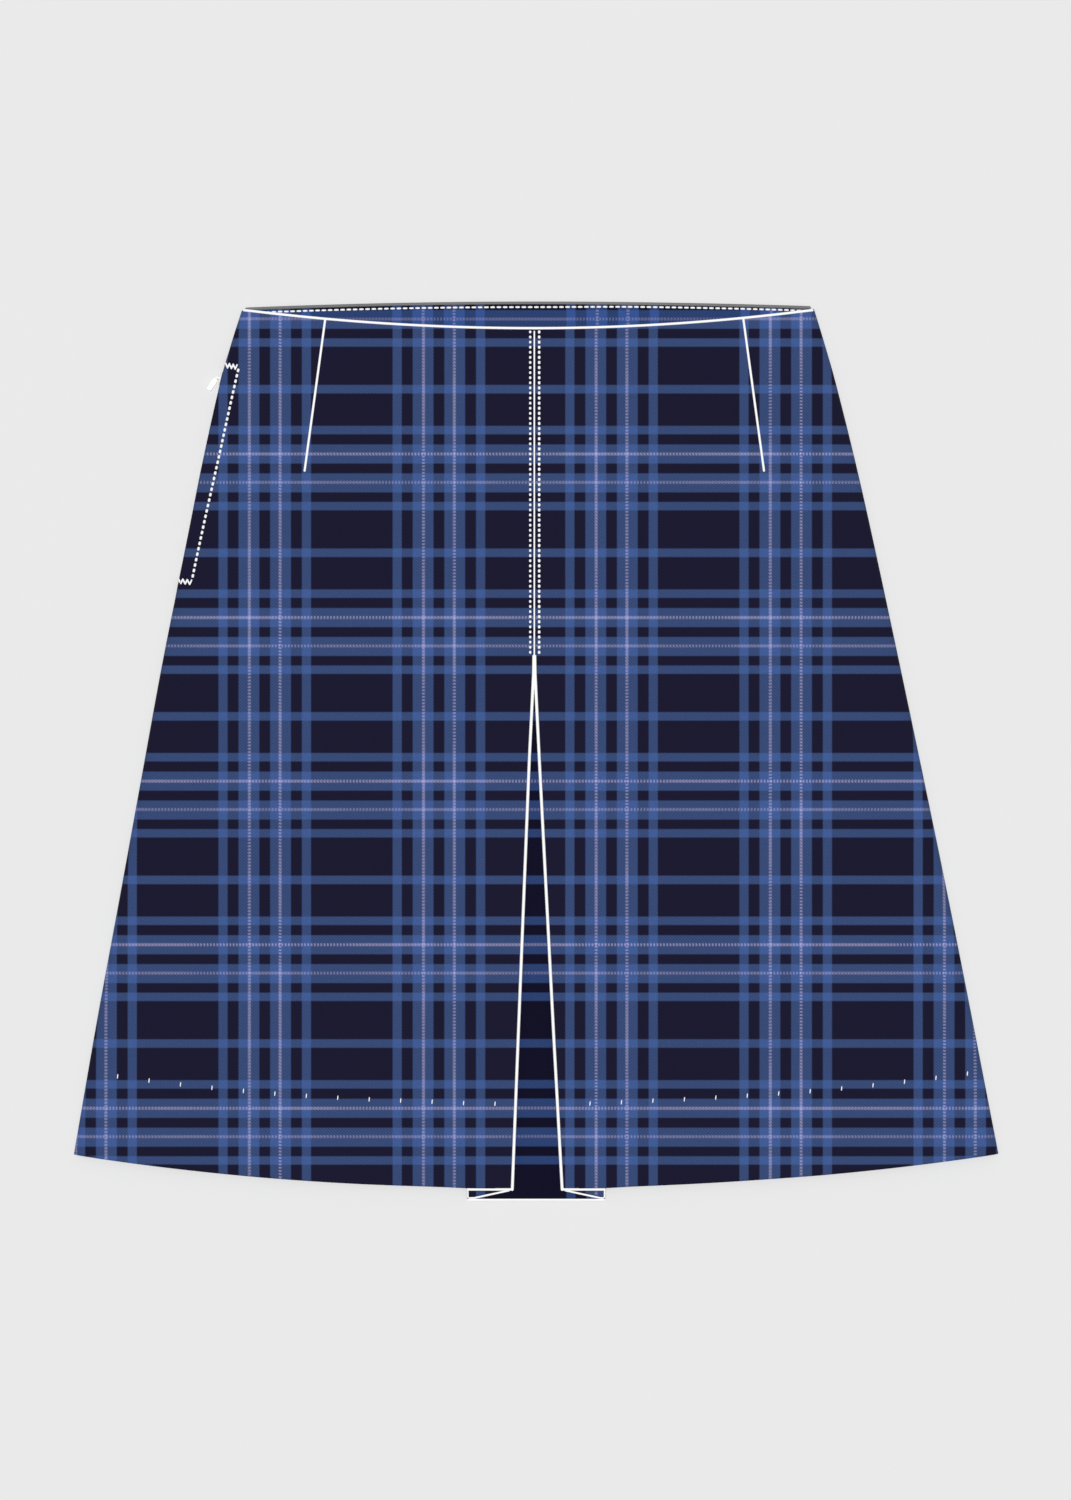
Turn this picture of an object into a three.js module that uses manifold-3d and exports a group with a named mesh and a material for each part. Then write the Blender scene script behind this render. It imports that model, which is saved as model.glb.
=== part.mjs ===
// A checked A-line skirt with an inverted pleat, laid flat with its back on the surface.
// Millimetres: X runs to the wearer's left, Y towards the waist and Z up.
// "down" is the distance below the two waist corners, "across" the distance from the centre front.

import * as THREE from 'three';
import Module from 'manifold-3d';
import { mergeVertices } from 'three/addons/utils/BufferGeometryUtils.js';

const wasm = await Module();
wasm.setup();

// The cloth, and the middle of each layer from the surface up
const clothThickness = 1.0;
const seamGap = 0.3;
const layerStep = clothThickness + seamGap;
const backMiddle = clothThickness / 2;
const insideMiddle = backMiddle + layerStep;
const returnMiddle = insideMiddle + layerStep;
const frontMiddle = returnMiddle + layerStep;
const edgeRadius = 1.2; // how tightly a front rolls down at its side seam

// Half widths from the centre front, on the wearer's right and left, at heights down the side seams
const outline = [
  { down: 0, right: 171.2, left: 163.8 },
  { down: 18, right: 177.0, left: 169.1 },
  { down: 41, right: 183.5, left: 175.5 },
  { down: 88, right: 194.0, left: 187.2 },
  { down: 135, right: 203.4, left: 197.8 },
  { down: 205, right: 217.5, left: 213.0 },
  { down: 275, right: 230.3, left: 227.6 },
  { down: 346, right: 243.2, left: 242.3 },
  { down: 416, right: 256.1, left: 256.3 },
  { down: 494, right: 269.6, left: 271.6 },
];

// Waist and hem, which are shallow curves between the side seams
const waistDip = 10.8; // the front waist's piping at its middle, below the corners
const backTop = { middle: -4.1, right: -0.5, left: -1.35 }; // the back edging, at centre and corners
const backReach = 0.985; // it stops short of the corners, where the front's piping comes down
const hemCorner = 494.3;
const hemSag = 20.2;
const hemMiddle = hemCorner + hemSag;

// White piping in the seams and along the edges
const edgePiping = 0.9; // radius at the waist and along the pleat
const centrePiping = 0.6; // half width down the stitched seam
const hemPiping = 0.7;
const returnPiping = 0.6;
const frontHemLift = 0.15; // raises the fronts' hem piping clear of the returns' piping
const pipedEdge = edgePiping + seamGap; // from an edge piping's middle to the cloth beside it
const rollStart = 2; // the point of a front's roll where its waist piping starts
const dartCord = { halfWidth: 0.8, halfHeight: 0.35 };

// The inverted pleat: stitched down to its top, and open below that
const pleatTop = 202.6;
const pleatOpen = { right: 12.9, left: 16.3 }; // at the hem, to each edge
const pleatDepth = { top: 30, hemRight: 38.2, hemLeft: 40.2 };
const underlayTop = 40;
const underlayBottom = 519.9;
const returnBottom = 518.9;
const returnSlope = 20.5; // across, from the fold to where its hem is level

// Darts, from the waist to their points
const dart = { topAcross: 122.5, topDown: 7, pointAcross: 134.4, pointDown: 94.3 };

// Facing inside the back waist
const facing = { depth: 35, inset: 15 };

// Zipped pocket in the wearer's right side seam
const pocketZip = { top: 33, bottom: 160, ease: 9, lift: 2.1 };
const zipChain = { outer: 0.2, inner: 2.4, low: 1.3, high: 3.0, clear: 0.5 };
const zipTape = { outer: 3.0, inner: 14.0, thickness: 1.2, middle: 2.1 };
const bag = { outer: 14.4, width: 104, top: 37, bottom: 214, corner: 26, thickness: 1.6, middle: 2.3 };
const bagCornerRows = [0.9, 0.95, 0.98]; // extra rows at its round lower corners, as shares of its length
const openingZip = { top: 3, bottom: 182 }; // concealed, in the other side seam

// The zip's slider and its pull
const slider = { down: 40, length: 7.6, plate: 0.8, low: 0.7, high: 3.5, standOff: 0.15 };
const bail = { reach: 2.6, pin: 0.35, ear: 0.6, width: 1.4 };
const pull = { length: 8.9, halfWidth: 1.5, neck: 0.9, shoulder: 2.0, corner: 0.8, angle: 34 };
const pullEye = { outer: 1.3, hole: 0.68, thickness: 1.0, bevel: 0.15 };
const slopeReach = 5; // a seam's slope is taken over this distance to both sides

// How many parts each form is divided into
const counts = {
  frontRows: 16,
  roll: 5,
  level: 9,
  fold: 4,
  pleatReturn: 4,
  back: 20,
  facingRows: 2,
  underlayRows: 8,
  underlayColumns: 4,
  waistCord: 24,
  seamCord: 3,
  pleatCord: 8,
  hemCord: 4,
  dartCord: 6,
  seamStrip: 10,
  bagRows: 6,
  bagColumns: 3,
  cordSides: 8,
  pinSides: 12,
  pullArc: 8,
};

// The frame's origin lies under the middle of the whole skirt
const originAcross = (outline.at(-1).left - outline.at(-1).right) / 2;
const highest = backTop.middle - edgePiping;
const lowest = underlayBottom + seamGap + 2 * hemPiping;
const originDown = (highest + lowest) / 2;

const colours = {
  check: new THREE.MeshStandardMaterial({ color: 0x2c3a66, roughness: 0.85, metalness: 0 }),
  checkInside: new THREE.MeshStandardMaterial({ color: 0x1c2546, roughness: 0.9, metalness: 0 }),
  whitePiping: new THREE.MeshStandardMaterial({ color: 0xf4f4f2, roughness: 0.7, metalness: 0 }),
  greyPiping: new THREE.MeshStandardMaterial({ color: 0x707070, roughness: 0.8, metalness: 0 }),
  pocketing: new THREE.MeshStandardMaterial({ color: 0x1d1c31, roughness: 0.9, metalness: 0 }),
  zipTape: new THREE.MeshStandardMaterial({ color: 0x1e1c31, roughness: 0.85, metalness: 0 }),
  zipPlastic: new THREE.MeshStandardMaterial({ color: 0xf2f2f0, roughness: 0.35, metalness: 0 }),
};

// Places a point given by its distances across and down, at a height
function at(across, down, height) {
  return new THREE.Vector3(across - originAcross, originDown - down, height);
}

function mix(a, b, share) {
  return a + (b - a) * share;
}

function smooth(share) {
  const t = Math.min(Math.max(share, 0), 1);
  return t * t * (3 - 2 * t);
}

function steps(count) {
  return Array.from({ length: count + 1 }, (_, k) => k / count);
}

// The wearer's right lies at negative X
function sign(side) {
  return side === 'right' ? -1 : 1;
}

// Half width of one side at a height, on a smooth curve through the outline's rows
function halfWidth(side, down) {
  const end = outline.length - 1;
  const slope = (k) => {
    const before = outline[Math.max(k - 1, 0)];
    const after = outline[Math.min(k + 1, end)];
    return (after[side] - before[side]) / (after.down - before.down);
  };
  if (down <= outline[0].down) {
    return outline[0][side] + slope(0) * (down - outline[0].down);
  }
  if (down >= outline[end].down) {
    return outline[end][side] + slope(end) * (down - outline[end].down);
  }
  const k = outline.findIndex((row) => row.down > down) - 1;
  const a = outline[k];
  const b = outline[k + 1];
  const span = b.down - a.down;
  const t = (down - a.down) / span;
  const bend = t * (1 - t);
  const straight = mix(a[side], b[side], t);
  const lift = (slope(k) * span - (b[side] - a[side])) * bend * (1 - t);
  const drop = ((b[side] - a[side]) - slope(k + 1) * span) * bend * t;
  return straight + lift + drop;
}

// The middles of the waist's pipings, and the hem, at a share of the half width
function frontWaist(share) {
  return waistDip * (1 - share * share);
}

function backWaist(side, share) {
  return mix(backTop.middle, backTop[side], share * share);
}

function hem(share) {
  return hemCorner + hemSag * (1 - share * share);
}

// Share of the way from a pleat's top to the hem
function pleatShare(down) {
  return Math.min(Math.max((down - pleatTop) / (hemMiddle - pleatTop), 0), 1);
}

// Where the cloth folds under, from the centre front, with room for the piping beside it
function foldEdge(side, down) {
  const closed = centrePiping + seamGap;
  const open = pleatOpen[side] + pipedEdge;
  return mix(closed, open, pleatShare(down));
}

// Where the pleat's hidden fold lies, at the underlay's edge
function pleatEdge(side, down) {
  const hemDepth = side === 'right' ? pleatDepth.hemRight : pleatDepth.hemLeft;
  return mix(pleatDepth.top, hemDepth, down / hemMiddle);
}

// A closed mesh from its points and triangles, turned so that its faces point out
function closedMesh(name, points, triangles, material) {
  let volume = 0;
  for (const [a, b, c] of triangles) {
    volume += points[a].dot(new THREE.Vector3().crossVectors(points[b], points[c]));
  }
  const faces = volume > 0 ? triangles : triangles.map(([a, b, c]) => [a, c, b]);
  const geometry = new THREE.BufferGeometry();
  geometry.setFromPoints(points);
  geometry.setIndex(faces.flat());
  geometry.computeVertexNormals();
  const mesh = new THREE.Mesh(geometry, material);
  mesh.name = name;
  return mesh;
}

// A cloth wall through rows of { point, normal }, half its thickness to each side of them
function wall(name, rows, thickness, material) {
  const rowCount = rows.length;
  const width = rows[0].length;
  const points = [];
  for (const half of [thickness / 2, -thickness / 2]) {
    for (const row of rows) {
      for (const { point, normal } of row) {
        points.push(point.clone().addScaledVector(normal, half));
      }
    }
  }
  const outer = (r, c) => r * width + c;
  const inner = (r, c) => rowCount * width + outer(r, c);
  const triangles = [];
  const quad = (a, b, c, d) => triangles.push([a, b, c], [a, c, d]);
  for (let r = 0; r < rowCount - 1; r += 1) {
    for (let c = 0; c < width - 1; c += 1) {
      quad(outer(r, c), outer(r, c + 1), outer(r + 1, c + 1), outer(r + 1, c));
      quad(inner(r, c), inner(r + 1, c), inner(r + 1, c + 1), inner(r, c + 1));
    }
    quad(outer(r, 0), outer(r + 1, 0), inner(r + 1, 0), inner(r, 0));
    quad(outer(r, width - 1), inner(r, width - 1), inner(r + 1, width - 1), outer(r + 1, width - 1));
  }
  for (let c = 0; c < width - 1; c += 1) {
    const end = rowCount - 1;
    quad(outer(0, c), inner(0, c), inner(0, c + 1), outer(0, c + 1));
    quad(outer(end, c), outer(end, c + 1), inner(end, c + 1), inner(end, c));
  }
  return closedMesh(name, points, triangles, material);
}

// A flat wall whose rows run from one edge to the other at a single height
function flatWall(name, rows, middle, thickness, material) {
  const up = new THREE.Vector3(0, 0, 1);
  const placed = rows.map((row) =>
    row.map(({ across, down }) => ({ point: at(across, down, middle), normal: up })),
  );
  return wall(name, placed, thickness, material);
}

// A cord along points, of an oval section that is given at each point as its two half widths
function cord(name, path, halfWidths, halfHeights, material) {
  const sides = counts.cordSides;
  const points = [];
  const up = new THREE.Vector3(0, 0, 1);
  path.forEach((point, k) => {
    const before = path[Math.max(k - 1, 0)];
    const after = path[Math.min(k + 1, path.length - 1)];
    const along = after.clone().sub(before).normalize();
    const across = new THREE.Vector3().crossVectors(along, up).normalize();
    const lifted = new THREE.Vector3().crossVectors(across, along);
    for (let s = 0; s < sides; s += 1) {
      const turn = ((s + 0.5) / sides) * 2 * Math.PI;
      const ring = point.clone();
      ring.addScaledVector(across, Math.cos(turn) * halfWidths[k]);
      ring.addScaledVector(lifted, Math.sin(turn) * halfHeights[k]);
      points.push(ring);
    }
  });
  const triangles = [];
  for (let k = 0; k < path.length - 1; k += 1) {
    for (let s = 0; s < sides; s += 1) {
      const a = k * sides + s;
      const b = k * sides + ((s + 1) % sides);
      triangles.push([a, b, b + sides], [a, b + sides, a + sides]);
    }
  }
  const last = (path.length - 1) * sides;
  for (let s = 1; s < sides - 1; s += 1) {
    triangles.push([0, s + 1, s], [last, last + s, last + s + 1]);
  }
  return closedMesh(name, points, triangles, material);
}

function roundCord(name, path, radius, material) {
  const sizes = path.map(() => radius);
  return cord(name, path, sizes, sizes, material);
}

// Heights of the rows of a front, as shares of its length, with one at each change of form
const sideLength = hemCorner - pipedEdge;
const centreTop = waistDip + pipedEdge;
const centreLength = hemMiddle - centreTop;
const zipShares = [
  pocketZip.top - pocketZip.ease,
  pocketZip.top,
  pocketZip.bottom,
  pocketZip.bottom + pocketZip.ease,
].map((down) => (down - pipedEdge) / sideLength);
const pleatShares = [(pleatTop - centreTop) / centreLength];
const frontShares = [...steps(counts.frontRows), ...zipShares, ...pleatShares].sort((a, b) => a - b);

// Height of a front's side edge over the surface, which the zip lifts
function sideEdgeHeight(side, down) {
  const closed = clothThickness + seamGap;
  if (side === 'left') {
    return closed;
  }
  const opening = smooth((down - pocketZip.top) / pocketZip.ease + 1);
  const closing = smooth((pocketZip.bottom - down) / pocketZip.ease + 1);
  return closed + pocketZip.lift * Math.min(opening, closing);
}

// One row of a front, from its side seam over the top to the pleat's fold and back under it
function frontRow(side, share) {
  const row = [];
  const facingOut = sign(side);
  const downAt = (fraction) => mix(frontWaist(fraction) + pipedEdge, hem(fraction), share);
  const add = (across, down, height, outward, upward) => {
    const normal = new THREE.Vector3(outward * facingOut, 0, upward).normalize();
    row.push({ point: at(across * facingOut, down, height), normal });
  };
  const sideDown = downAt(1);
  const edgeHeight = sideEdgeHeight(side, sideDown);
  const rise = frontMiddle - edgeHeight;
  const run = (rise * rise) / edgeRadius;
  const wide = halfWidth(side, sideDown);
  const sideMiddle = wide - clothThickness / 2;
  for (const k of steps(counts.roll)) {
    const turn = (k * Math.PI) / 2;
    const across = sideMiddle - run * (1 - Math.cos(turn));
    const height = edgeHeight + rise * Math.sin(turn);
    add(across, downAt(across / wide), height, Math.cos(turn) / run, Math.sin(turn) / rise);
  }
  const foldRadius = layerStep / 2;
  const middleDown = downAt(0);
  const foldCentre = foldEdge(side, middleDown) + clothThickness / 2 + foldRadius;
  for (const k of steps(counts.level).slice(1, -1)) {
    const across = mix(sideMiddle - run, foldCentre, k);
    add(across, downAt(across / wide), frontMiddle, 0, 1);
  }
  for (const k of steps(counts.fold)) {
    const turn = k * Math.PI;
    const across = foldCentre - foldRadius * Math.sin(turn);
    const height = mix(returnMiddle, frontMiddle, 0.5) + foldRadius * Math.cos(turn);
    add(across, middleDown, height, -Math.sin(turn), Math.cos(turn));
  }
  for (const k of steps(counts.pleatReturn).slice(1)) {
    const across = mix(foldCentre, pleatEdge(side, middleDown), k);
    const level = mix(hemMiddle, returnBottom, Math.min((across - foldCentre) / returnSlope, 1));
    const down = mix(centreTop, level, share);
    add(across, down, returnMiddle, 0, -1);
  }
  return row;
}

function frontPanel(side) {
  const rows = frontShares.map((share) => frontRow(side, share));
  return wall(`front_panel_${side}`, rows, clothThickness, colours.check);
}

// The back lies flat on the surface, one piece from side seam to side seam
function backPanel() {
  const rows = steps(counts.back).map((share) =>
    steps(counts.back).map((k) => {
      const fraction = k * 2 - 1;
      const side = fraction < 0 ? 'right' : 'left';
      const down = mix(backWaist(side, fraction) + pipedEdge, hem(fraction), share);
      return { across: fraction * halfWidth(side, down), down };
    }),
  );
  return flatWall('back_panel', rows, backMiddle, clothThickness, colours.check);
}

// The facing lies on the back's inside, and shows where the front waist dips
function backFacing() {
  const rows = steps(counts.facingRows).map((share) =>
    steps(counts.back).map((k) => {
      const fraction = k * 2 - 1;
      const side = fraction < 0 ? 'right' : 'left';
      const down = backWaist(side, fraction) + pipedEdge + facing.depth * share;
      return { across: fraction * (halfWidth(side, down) - facing.inset), down };
    }),
  );
  return flatWall('back_facing', rows, insideMiddle, clothThickness, colours.checkInside);
}

// The underlay fills the pleat from behind and hangs a little lower than the fronts
function pleatUnderlay() {
  const rows = steps(counts.underlayRows).map((share) => {
    const down = mix(underlayTop, underlayBottom, share);
    const right = -pleatEdge('right', down);
    const left = pleatEdge('left', down);
    return steps(counts.underlayColumns).map((k) => ({ across: mix(right, left, k), down }));
  });
  return flatWall('pleat_underlay', rows, insideMiddle, clothThickness, colours.checkInside);
}

// Piping along the front waist, over the rolled side seams
function frontWaistPiping() {
  const lift = new THREE.Vector3(0, pipedEdge, 0);
  const edge = (side) =>
    frontRow(side, 0)
      .slice(rollStart, counts.roll + counts.level + 1)
      .map(({ point }) => point.clone().add(lift));
  const path = [...edge('right'), ...edge('left').reverse()];
  return roundCord('front_waist_piping', path, edgePiping, colours.whitePiping);
}

function backWaistPiping() {
  const path = steps(counts.waistCord).map((k) => {
    const fraction = mix(-backReach, backReach, k);
    const side = fraction < 0 ? 'right' : 'left';
    const down = backWaist(side, fraction);
    return at(fraction * halfWidth(side, down), down, edgePiping);
  });
  return roundCord('back_waist_piping', path, edgePiping, colours.greyPiping);
}

// Piping in the stitched seam, which widens into a wedge where the pleat starts to open
const pipingParts = Math.max(
  ...['right', 'left'].map((side) => {
    const room = edgePiping + seamGap / 2;
    const opened = pleatOpen[side] + edgePiping - centrePiping;
    const needed = room + edgePiping - centrePiping;
    return mix(pleatTop, hemMiddle, needed / opened);
  }),
);

function centreSeamPiping() {
  const downs = steps(counts.seamCord).map((k) => mix(centreTop, pleatTop, k));
  downs.push(mix(pleatTop, pipingParts, 0.5), pipingParts - seamGap);
  const right = downs.map((down) => foldEdge('right', down) - seamGap);
  const left = downs.map((down) => foldEdge('left', down) - seamGap);
  const path = downs.map((down, k) => at((left[k] - right[k]) / 2, down, frontMiddle));
  const halfWidths = downs.map((down, k) => (left[k] + right[k]) / 2);
  const halfHeights = downs.map(() => centrePiping);
  return cord('centre_seam_piping', path, halfWidths, halfHeights, colours.whitePiping);
}

function pleatPiping(side) {
  const path = steps(counts.pleatCord).map((k) => {
    const down = mix(pipingParts, hemMiddle, k);
    const across = foldEdge(side, down) - pipedEdge;
    return at(across * sign(side), down, frontMiddle);
  });
  return roundCord(`pleat_piping_${side}`, path, edgePiping, colours.whitePiping);
}

// Piping along the hem of a return, from the fold's corner to the pleat's hidden fold
function returnHemPiping(side) {
  const fold = foldEdge(side, hemMiddle) + clothThickness / 2 + layerStep / 2;
  const clear = seamGap + returnPiping;
  const corners = [
    { across: fold, down: hemMiddle + clear },
    { across: fold + returnSlope / 2, down: mix(hemMiddle, returnBottom, 0.5) + clear },
    { across: fold + returnSlope, down: returnBottom + clear },
    { across: pleatEdge(side, hemMiddle), down: returnBottom + clear },
  ];
  const path = corners.map(({ across, down }) => at(across * sign(side), down, returnMiddle));
  return roundCord(`return_hem_piping_${side}`, path, returnPiping, colours.whitePiping);
}

// Piping along a front's hem, as far as the return shows below it
function frontHemPiping(side) {
  const start = foldEdge(side, hemMiddle);
  const end = pleatEdge(side, hemMiddle);
  const path = steps(counts.hemCord).map((k) => {
    const across = mix(start, end, k);
    const down = hem(across / halfWidth(side, hemMiddle)) + seamGap + returnPiping;
    return at(across * sign(side), down, frontMiddle + frontHemLift);
  });
  return roundCord(`front_hem_piping_${side}`, path, returnPiping, colours.whitePiping);
}

function underlayHemPiping() {
  const down = underlayBottom + seamGap + hemPiping;
  const right = -pleatEdge('right', underlayBottom);
  const left = pleatEdge('left', underlayBottom);
  const path = steps(counts.hemCord).map((k) => at(mix(right, left, k), down, insideMiddle));
  return roundCord('underlay_hem_piping', path, hemPiping, colours.whitePiping);
}

// A dart's stitched line, on the panel and moved out from it
function dartLine(side) {
  const height = frontMiddle + clothThickness / 2 + seamGap + dartCord.halfHeight;
  const path = steps(counts.dartCord).map((k) => {
    const across = mix(dart.topAcross, dart.pointAcross, k);
    return at(across * sign(side), mix(dart.topDown, dart.pointDown, k), height);
  });
  const halfWidths = path.map(() => dartCord.halfWidth);
  const halfHeights = path.map(() => dartCord.halfHeight);
  return cord(`dart_${side}`, path, halfWidths, halfHeights, colours.whitePiping);
}

// A strip that follows a side seam at distances in from its edge
function seamStrip(name, side, outer, inner, top, bottom, middle, thickness, material) {
  const rows = steps(counts.seamStrip).map((share) => {
    const down = mix(top, bottom, share);
    return [outer, inner].map((inward) => ({
      across: sign(side) * (halfWidth(side, down) - inward),
      down,
    }));
  });
  return flatWall(name, rows, middle, thickness, material);
}

function pocketZipChain() {
  const { outer, inner, low, high, clear } = zipChain;
  const top = pocketZip.top + clear;
  const bottom = pocketZip.bottom - clear;
  const middle = (low + high) / 2;
  return seamStrip(
    'pocket_zip_chain', 'right', outer, inner, top, bottom, middle, high - low, colours.zipPlastic,
  );
}

function pocketZipTape() {
  const { outer, inner, thickness, middle } = zipTape;
  const { top, bottom } = pocketZip;
  return seamStrip(
    'pocket_zip_tape', 'right', outer, inner, top, bottom, middle, thickness, colours.zipTape,
  );
}

function openingZipTape() {
  const { outer, inner, thickness, middle } = zipTape;
  const { top, bottom } = openingZip;
  return seamStrip(
    'opening_zip_tape', 'left', outer, inner, top, bottom, middle, thickness, colours.zipTape,
  );
}

// The pocket's bag, two layers in one solid with round lower corners
function pocketBag() {
  const { outer, width, top, bottom, corner, thickness, middle } = bag;
  const shares = [...steps(counts.bagRows), ...bagCornerRows].sort((a, b) => a - b);
  const rows = shares.map((share) => {
    const down = mix(top, bottom, share);
    const below = Math.max(down - (bottom - corner), 0);
    const rounding = corner - Math.sqrt(corner * corner - below * below);
    const from = outer + rounding;
    const to = outer + width - rounding;
    return steps(counts.bagColumns).map((k) => ({
      across: -(halfWidth('right', down) - mix(from, to, k)),
      down,
    }));
  });
  return flatWall('pocket_bag', rows, middle, thickness, colours.pocketing);
}

// A solid that manifold can join, from a three.js geometry
function solid(geometry) {
  const bare = geometry.index ? geometry.toNonIndexed() : geometry.clone();
  bare.deleteAttribute('normal');
  bare.deleteAttribute('uv');
  const merged = mergeVertices(bare, 1e-4);
  const vertProperties = new Float32Array(merged.attributes.position.array);
  const triVerts = new Uint32Array(merged.index.array);
  return new wasm.Manifold(new wasm.Mesh({ numProp: 3, vertProperties, triVerts }));
}

function meshOf(name, joined, material) {
  const { vertProperties, triVerts } = joined.getMesh();
  const geometry = new THREE.BufferGeometry();
  geometry.setAttribute('position', new THREE.BufferAttribute(new Float32Array(vertProperties), 3));
  geometry.setIndex(new THREE.BufferAttribute(new Uint32Array(triVerts), 1));
  geometry.computeVertexNormals();
  const mesh = new THREE.Mesh(geometry, material);
  mesh.name = name;
  return mesh;
}

// The slider and its pull share a place on the seam: X outwards, Y up the seam, Z up
const widthBelow = halfWidth('right', slider.down + slopeReach);
const widthAbove = halfWidth('right', slider.down - slopeReach);
const seamTurn = -Math.atan2(widthBelow - widthAbove, 2 * slopeReach);
const sliderPlace = new THREE.Group();
sliderPlace.position.copy(at(-halfWidth('right', slider.down), slider.down, 0));
sliderPlace.rotation.z = seamTurn;

function box(sizeX, sizeY, sizeZ, x, y, z) {
  const geometry = new THREE.BoxGeometry(sizeX, sizeY, sizeZ);
  geometry.translate(x, y, z);
  return geometry;
}

function pocketZipSlider() {
  const middle = (slider.low + slider.high) / 2;
  const tall = slider.high - slider.low;
  const plateAt = -(slider.standOff + slider.plate / 2);
  const earLength = bail.reach + bail.pin * 2 - slider.standOff - slider.plate / 2;
  const earAt = plateAt - earLength / 2;
  let joined = solid(box(slider.plate, slider.length, tall, plateAt, 0, middle));
  for (const height of [slider.low + bail.ear / 2, slider.high - bail.ear / 2]) {
    joined = joined.add(solid(box(earLength, bail.width, bail.ear, earAt, 0, height)));
  }
  const pin = new THREE.CylinderGeometry(bail.pin, bail.pin, tall - bail.ear, counts.pinSides);
  pin.rotateX(Math.PI / 2);
  pin.translate(-bail.reach, 0, middle);
  joined = joined.add(solid(pin));
  return meshOf('pocket_zip_slider', joined, colours.zipPlastic);
}

// The pull is a small moulded bar with an eye round the slider's pin
function pocketZipPull() {
  const { length, halfWidth: half, neck, shoulder, corner } = pull;
  const { outer, hole, thickness, bevel } = pullEye;
  const meet = Math.asin(neck / outer);
  const shape = new THREE.Shape();
  shape.absarc(0, 0, outer, -Math.PI / 2 + meet, (3 * Math.PI) / 2 - meet, false);
  shape.lineTo(-half, -shoulder);
  shape.absarc(corner - half, corner - length, corner, Math.PI, (3 * Math.PI) / 2, false);
  shape.absarc(half - corner, corner - length, corner, (3 * Math.PI) / 2, 2 * Math.PI, false);
  shape.lineTo(half, -shoulder);
  shape.closePath();
  const opening = new THREE.Path();
  opening.absarc(0, 0, hole, 0, 2 * Math.PI, true);
  shape.holes.push(opening);
  const geometry = new THREE.ExtrudeGeometry(shape, {
    depth: thickness - 2 * bevel,
    bevelEnabled: true,
    bevelThickness: bevel,
    bevelSize: bevel,
    bevelOffset: -bevel,
    bevelSegments: 1,
    curveSegments: counts.pullArc,
  });
  geometry.translate(0, 0, bevel - thickness / 2);
  const mesh = new THREE.Mesh(geometry, colours.zipPlastic);
  mesh.name = 'pocket_zip_pull';
  mesh.position.set(-bail.reach, 0, (slider.low + slider.high) / 2);
  mesh.rotation.z = -THREE.MathUtils.degToRad(pull.angle) - seamTurn;
  return mesh;
}

const skirt = new THREE.Group();
skirt.add(backPanel(), frontPanel('right'), frontPanel('left'), pleatUnderlay(), backFacing());
skirt.add(frontWaistPiping(), backWaistPiping(), centreSeamPiping(), underlayHemPiping());
for (const side of ['right', 'left']) {
  skirt.add(pleatPiping(side), returnHemPiping(side), frontHemPiping(side), dartLine(side));
}
skirt.add(pocketBag(), pocketZipTape(), pocketZipChain(), openingZipTape());
sliderPlace.add(pocketZipSlider(), pocketZipPull());
skirt.add(sliderPlace);

export default skirt;
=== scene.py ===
# A checked skirt with an inverted pleat, laid flat on its back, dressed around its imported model.
# Lengths in the dictionaries are millimetres. "across" is the distance from the centre front, "down" the
# distance below the two waist corners, and "right" and "left" are the wearer's.

import math

import bmesh
import bpy
from mathutils import Matrix, Vector


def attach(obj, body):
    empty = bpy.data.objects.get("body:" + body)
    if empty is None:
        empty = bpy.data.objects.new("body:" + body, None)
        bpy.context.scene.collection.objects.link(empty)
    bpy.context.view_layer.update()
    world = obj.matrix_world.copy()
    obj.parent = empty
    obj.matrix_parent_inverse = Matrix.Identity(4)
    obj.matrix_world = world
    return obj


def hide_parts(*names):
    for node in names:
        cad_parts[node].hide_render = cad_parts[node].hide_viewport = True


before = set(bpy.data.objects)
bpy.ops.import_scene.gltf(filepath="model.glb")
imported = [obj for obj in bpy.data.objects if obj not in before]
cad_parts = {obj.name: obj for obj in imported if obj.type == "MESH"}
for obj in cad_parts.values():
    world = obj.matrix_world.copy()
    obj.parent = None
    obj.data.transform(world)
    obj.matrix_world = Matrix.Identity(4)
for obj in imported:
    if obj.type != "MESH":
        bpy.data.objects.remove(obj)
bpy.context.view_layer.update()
print("frame loaded")

mm = 0.001
up = Vector((0, 0, 1))

# The cut, which the solids have too, to within a millimetre
skirtCut = {
    "downs": [0, 18, 41, 88, 135, 205, 275, 346, 416, 494],
    "right": [171.2, 177.0, 183.5, 194.0, 203.4, 217.5, 230.3, 243.2, 256.1, 269.6],
    "left": [164.0, 169.5, 176.1, 187.85, 198.5, 213.5, 228.2, 242.8, 256.65, 271.8],
    "waistDip": 10.8,  # the front waist's piping at its middle
    "backTop": {"middle": -4.1, "right": -0.5, "left": -1.35},  # the back edging, at centre and corners
    "pipedEdge": 1.2,  # from an edging's middle to the cloth beside it
    "hemCorner": 494.3,
    "hemSag": 20.2,
    # By how much the hem leaves its arc, from the right corner to the left
    "hemShares": [-1, -0.86, -0.6, -0.4, -0.28, -0.2, -0.14, 0.14, 0.22, 0.35, 0.5, 0.62, 0.8, 1],
    "hemDrift": [0.2, 0.42, 0.37, 0.05, -0.25, -0.3, 0, 0, -0.5, -0.6, -0.58, -0.3, -0.17, -0.2],
    "hemDepth": 50.0,  # turned up inside
    "thickness": 0.6,
}
hemMiddle = skirtCut["hemCorner"] + skirtCut["hemSag"]
halfCloth = skirtCut["thickness"] / 2

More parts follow.
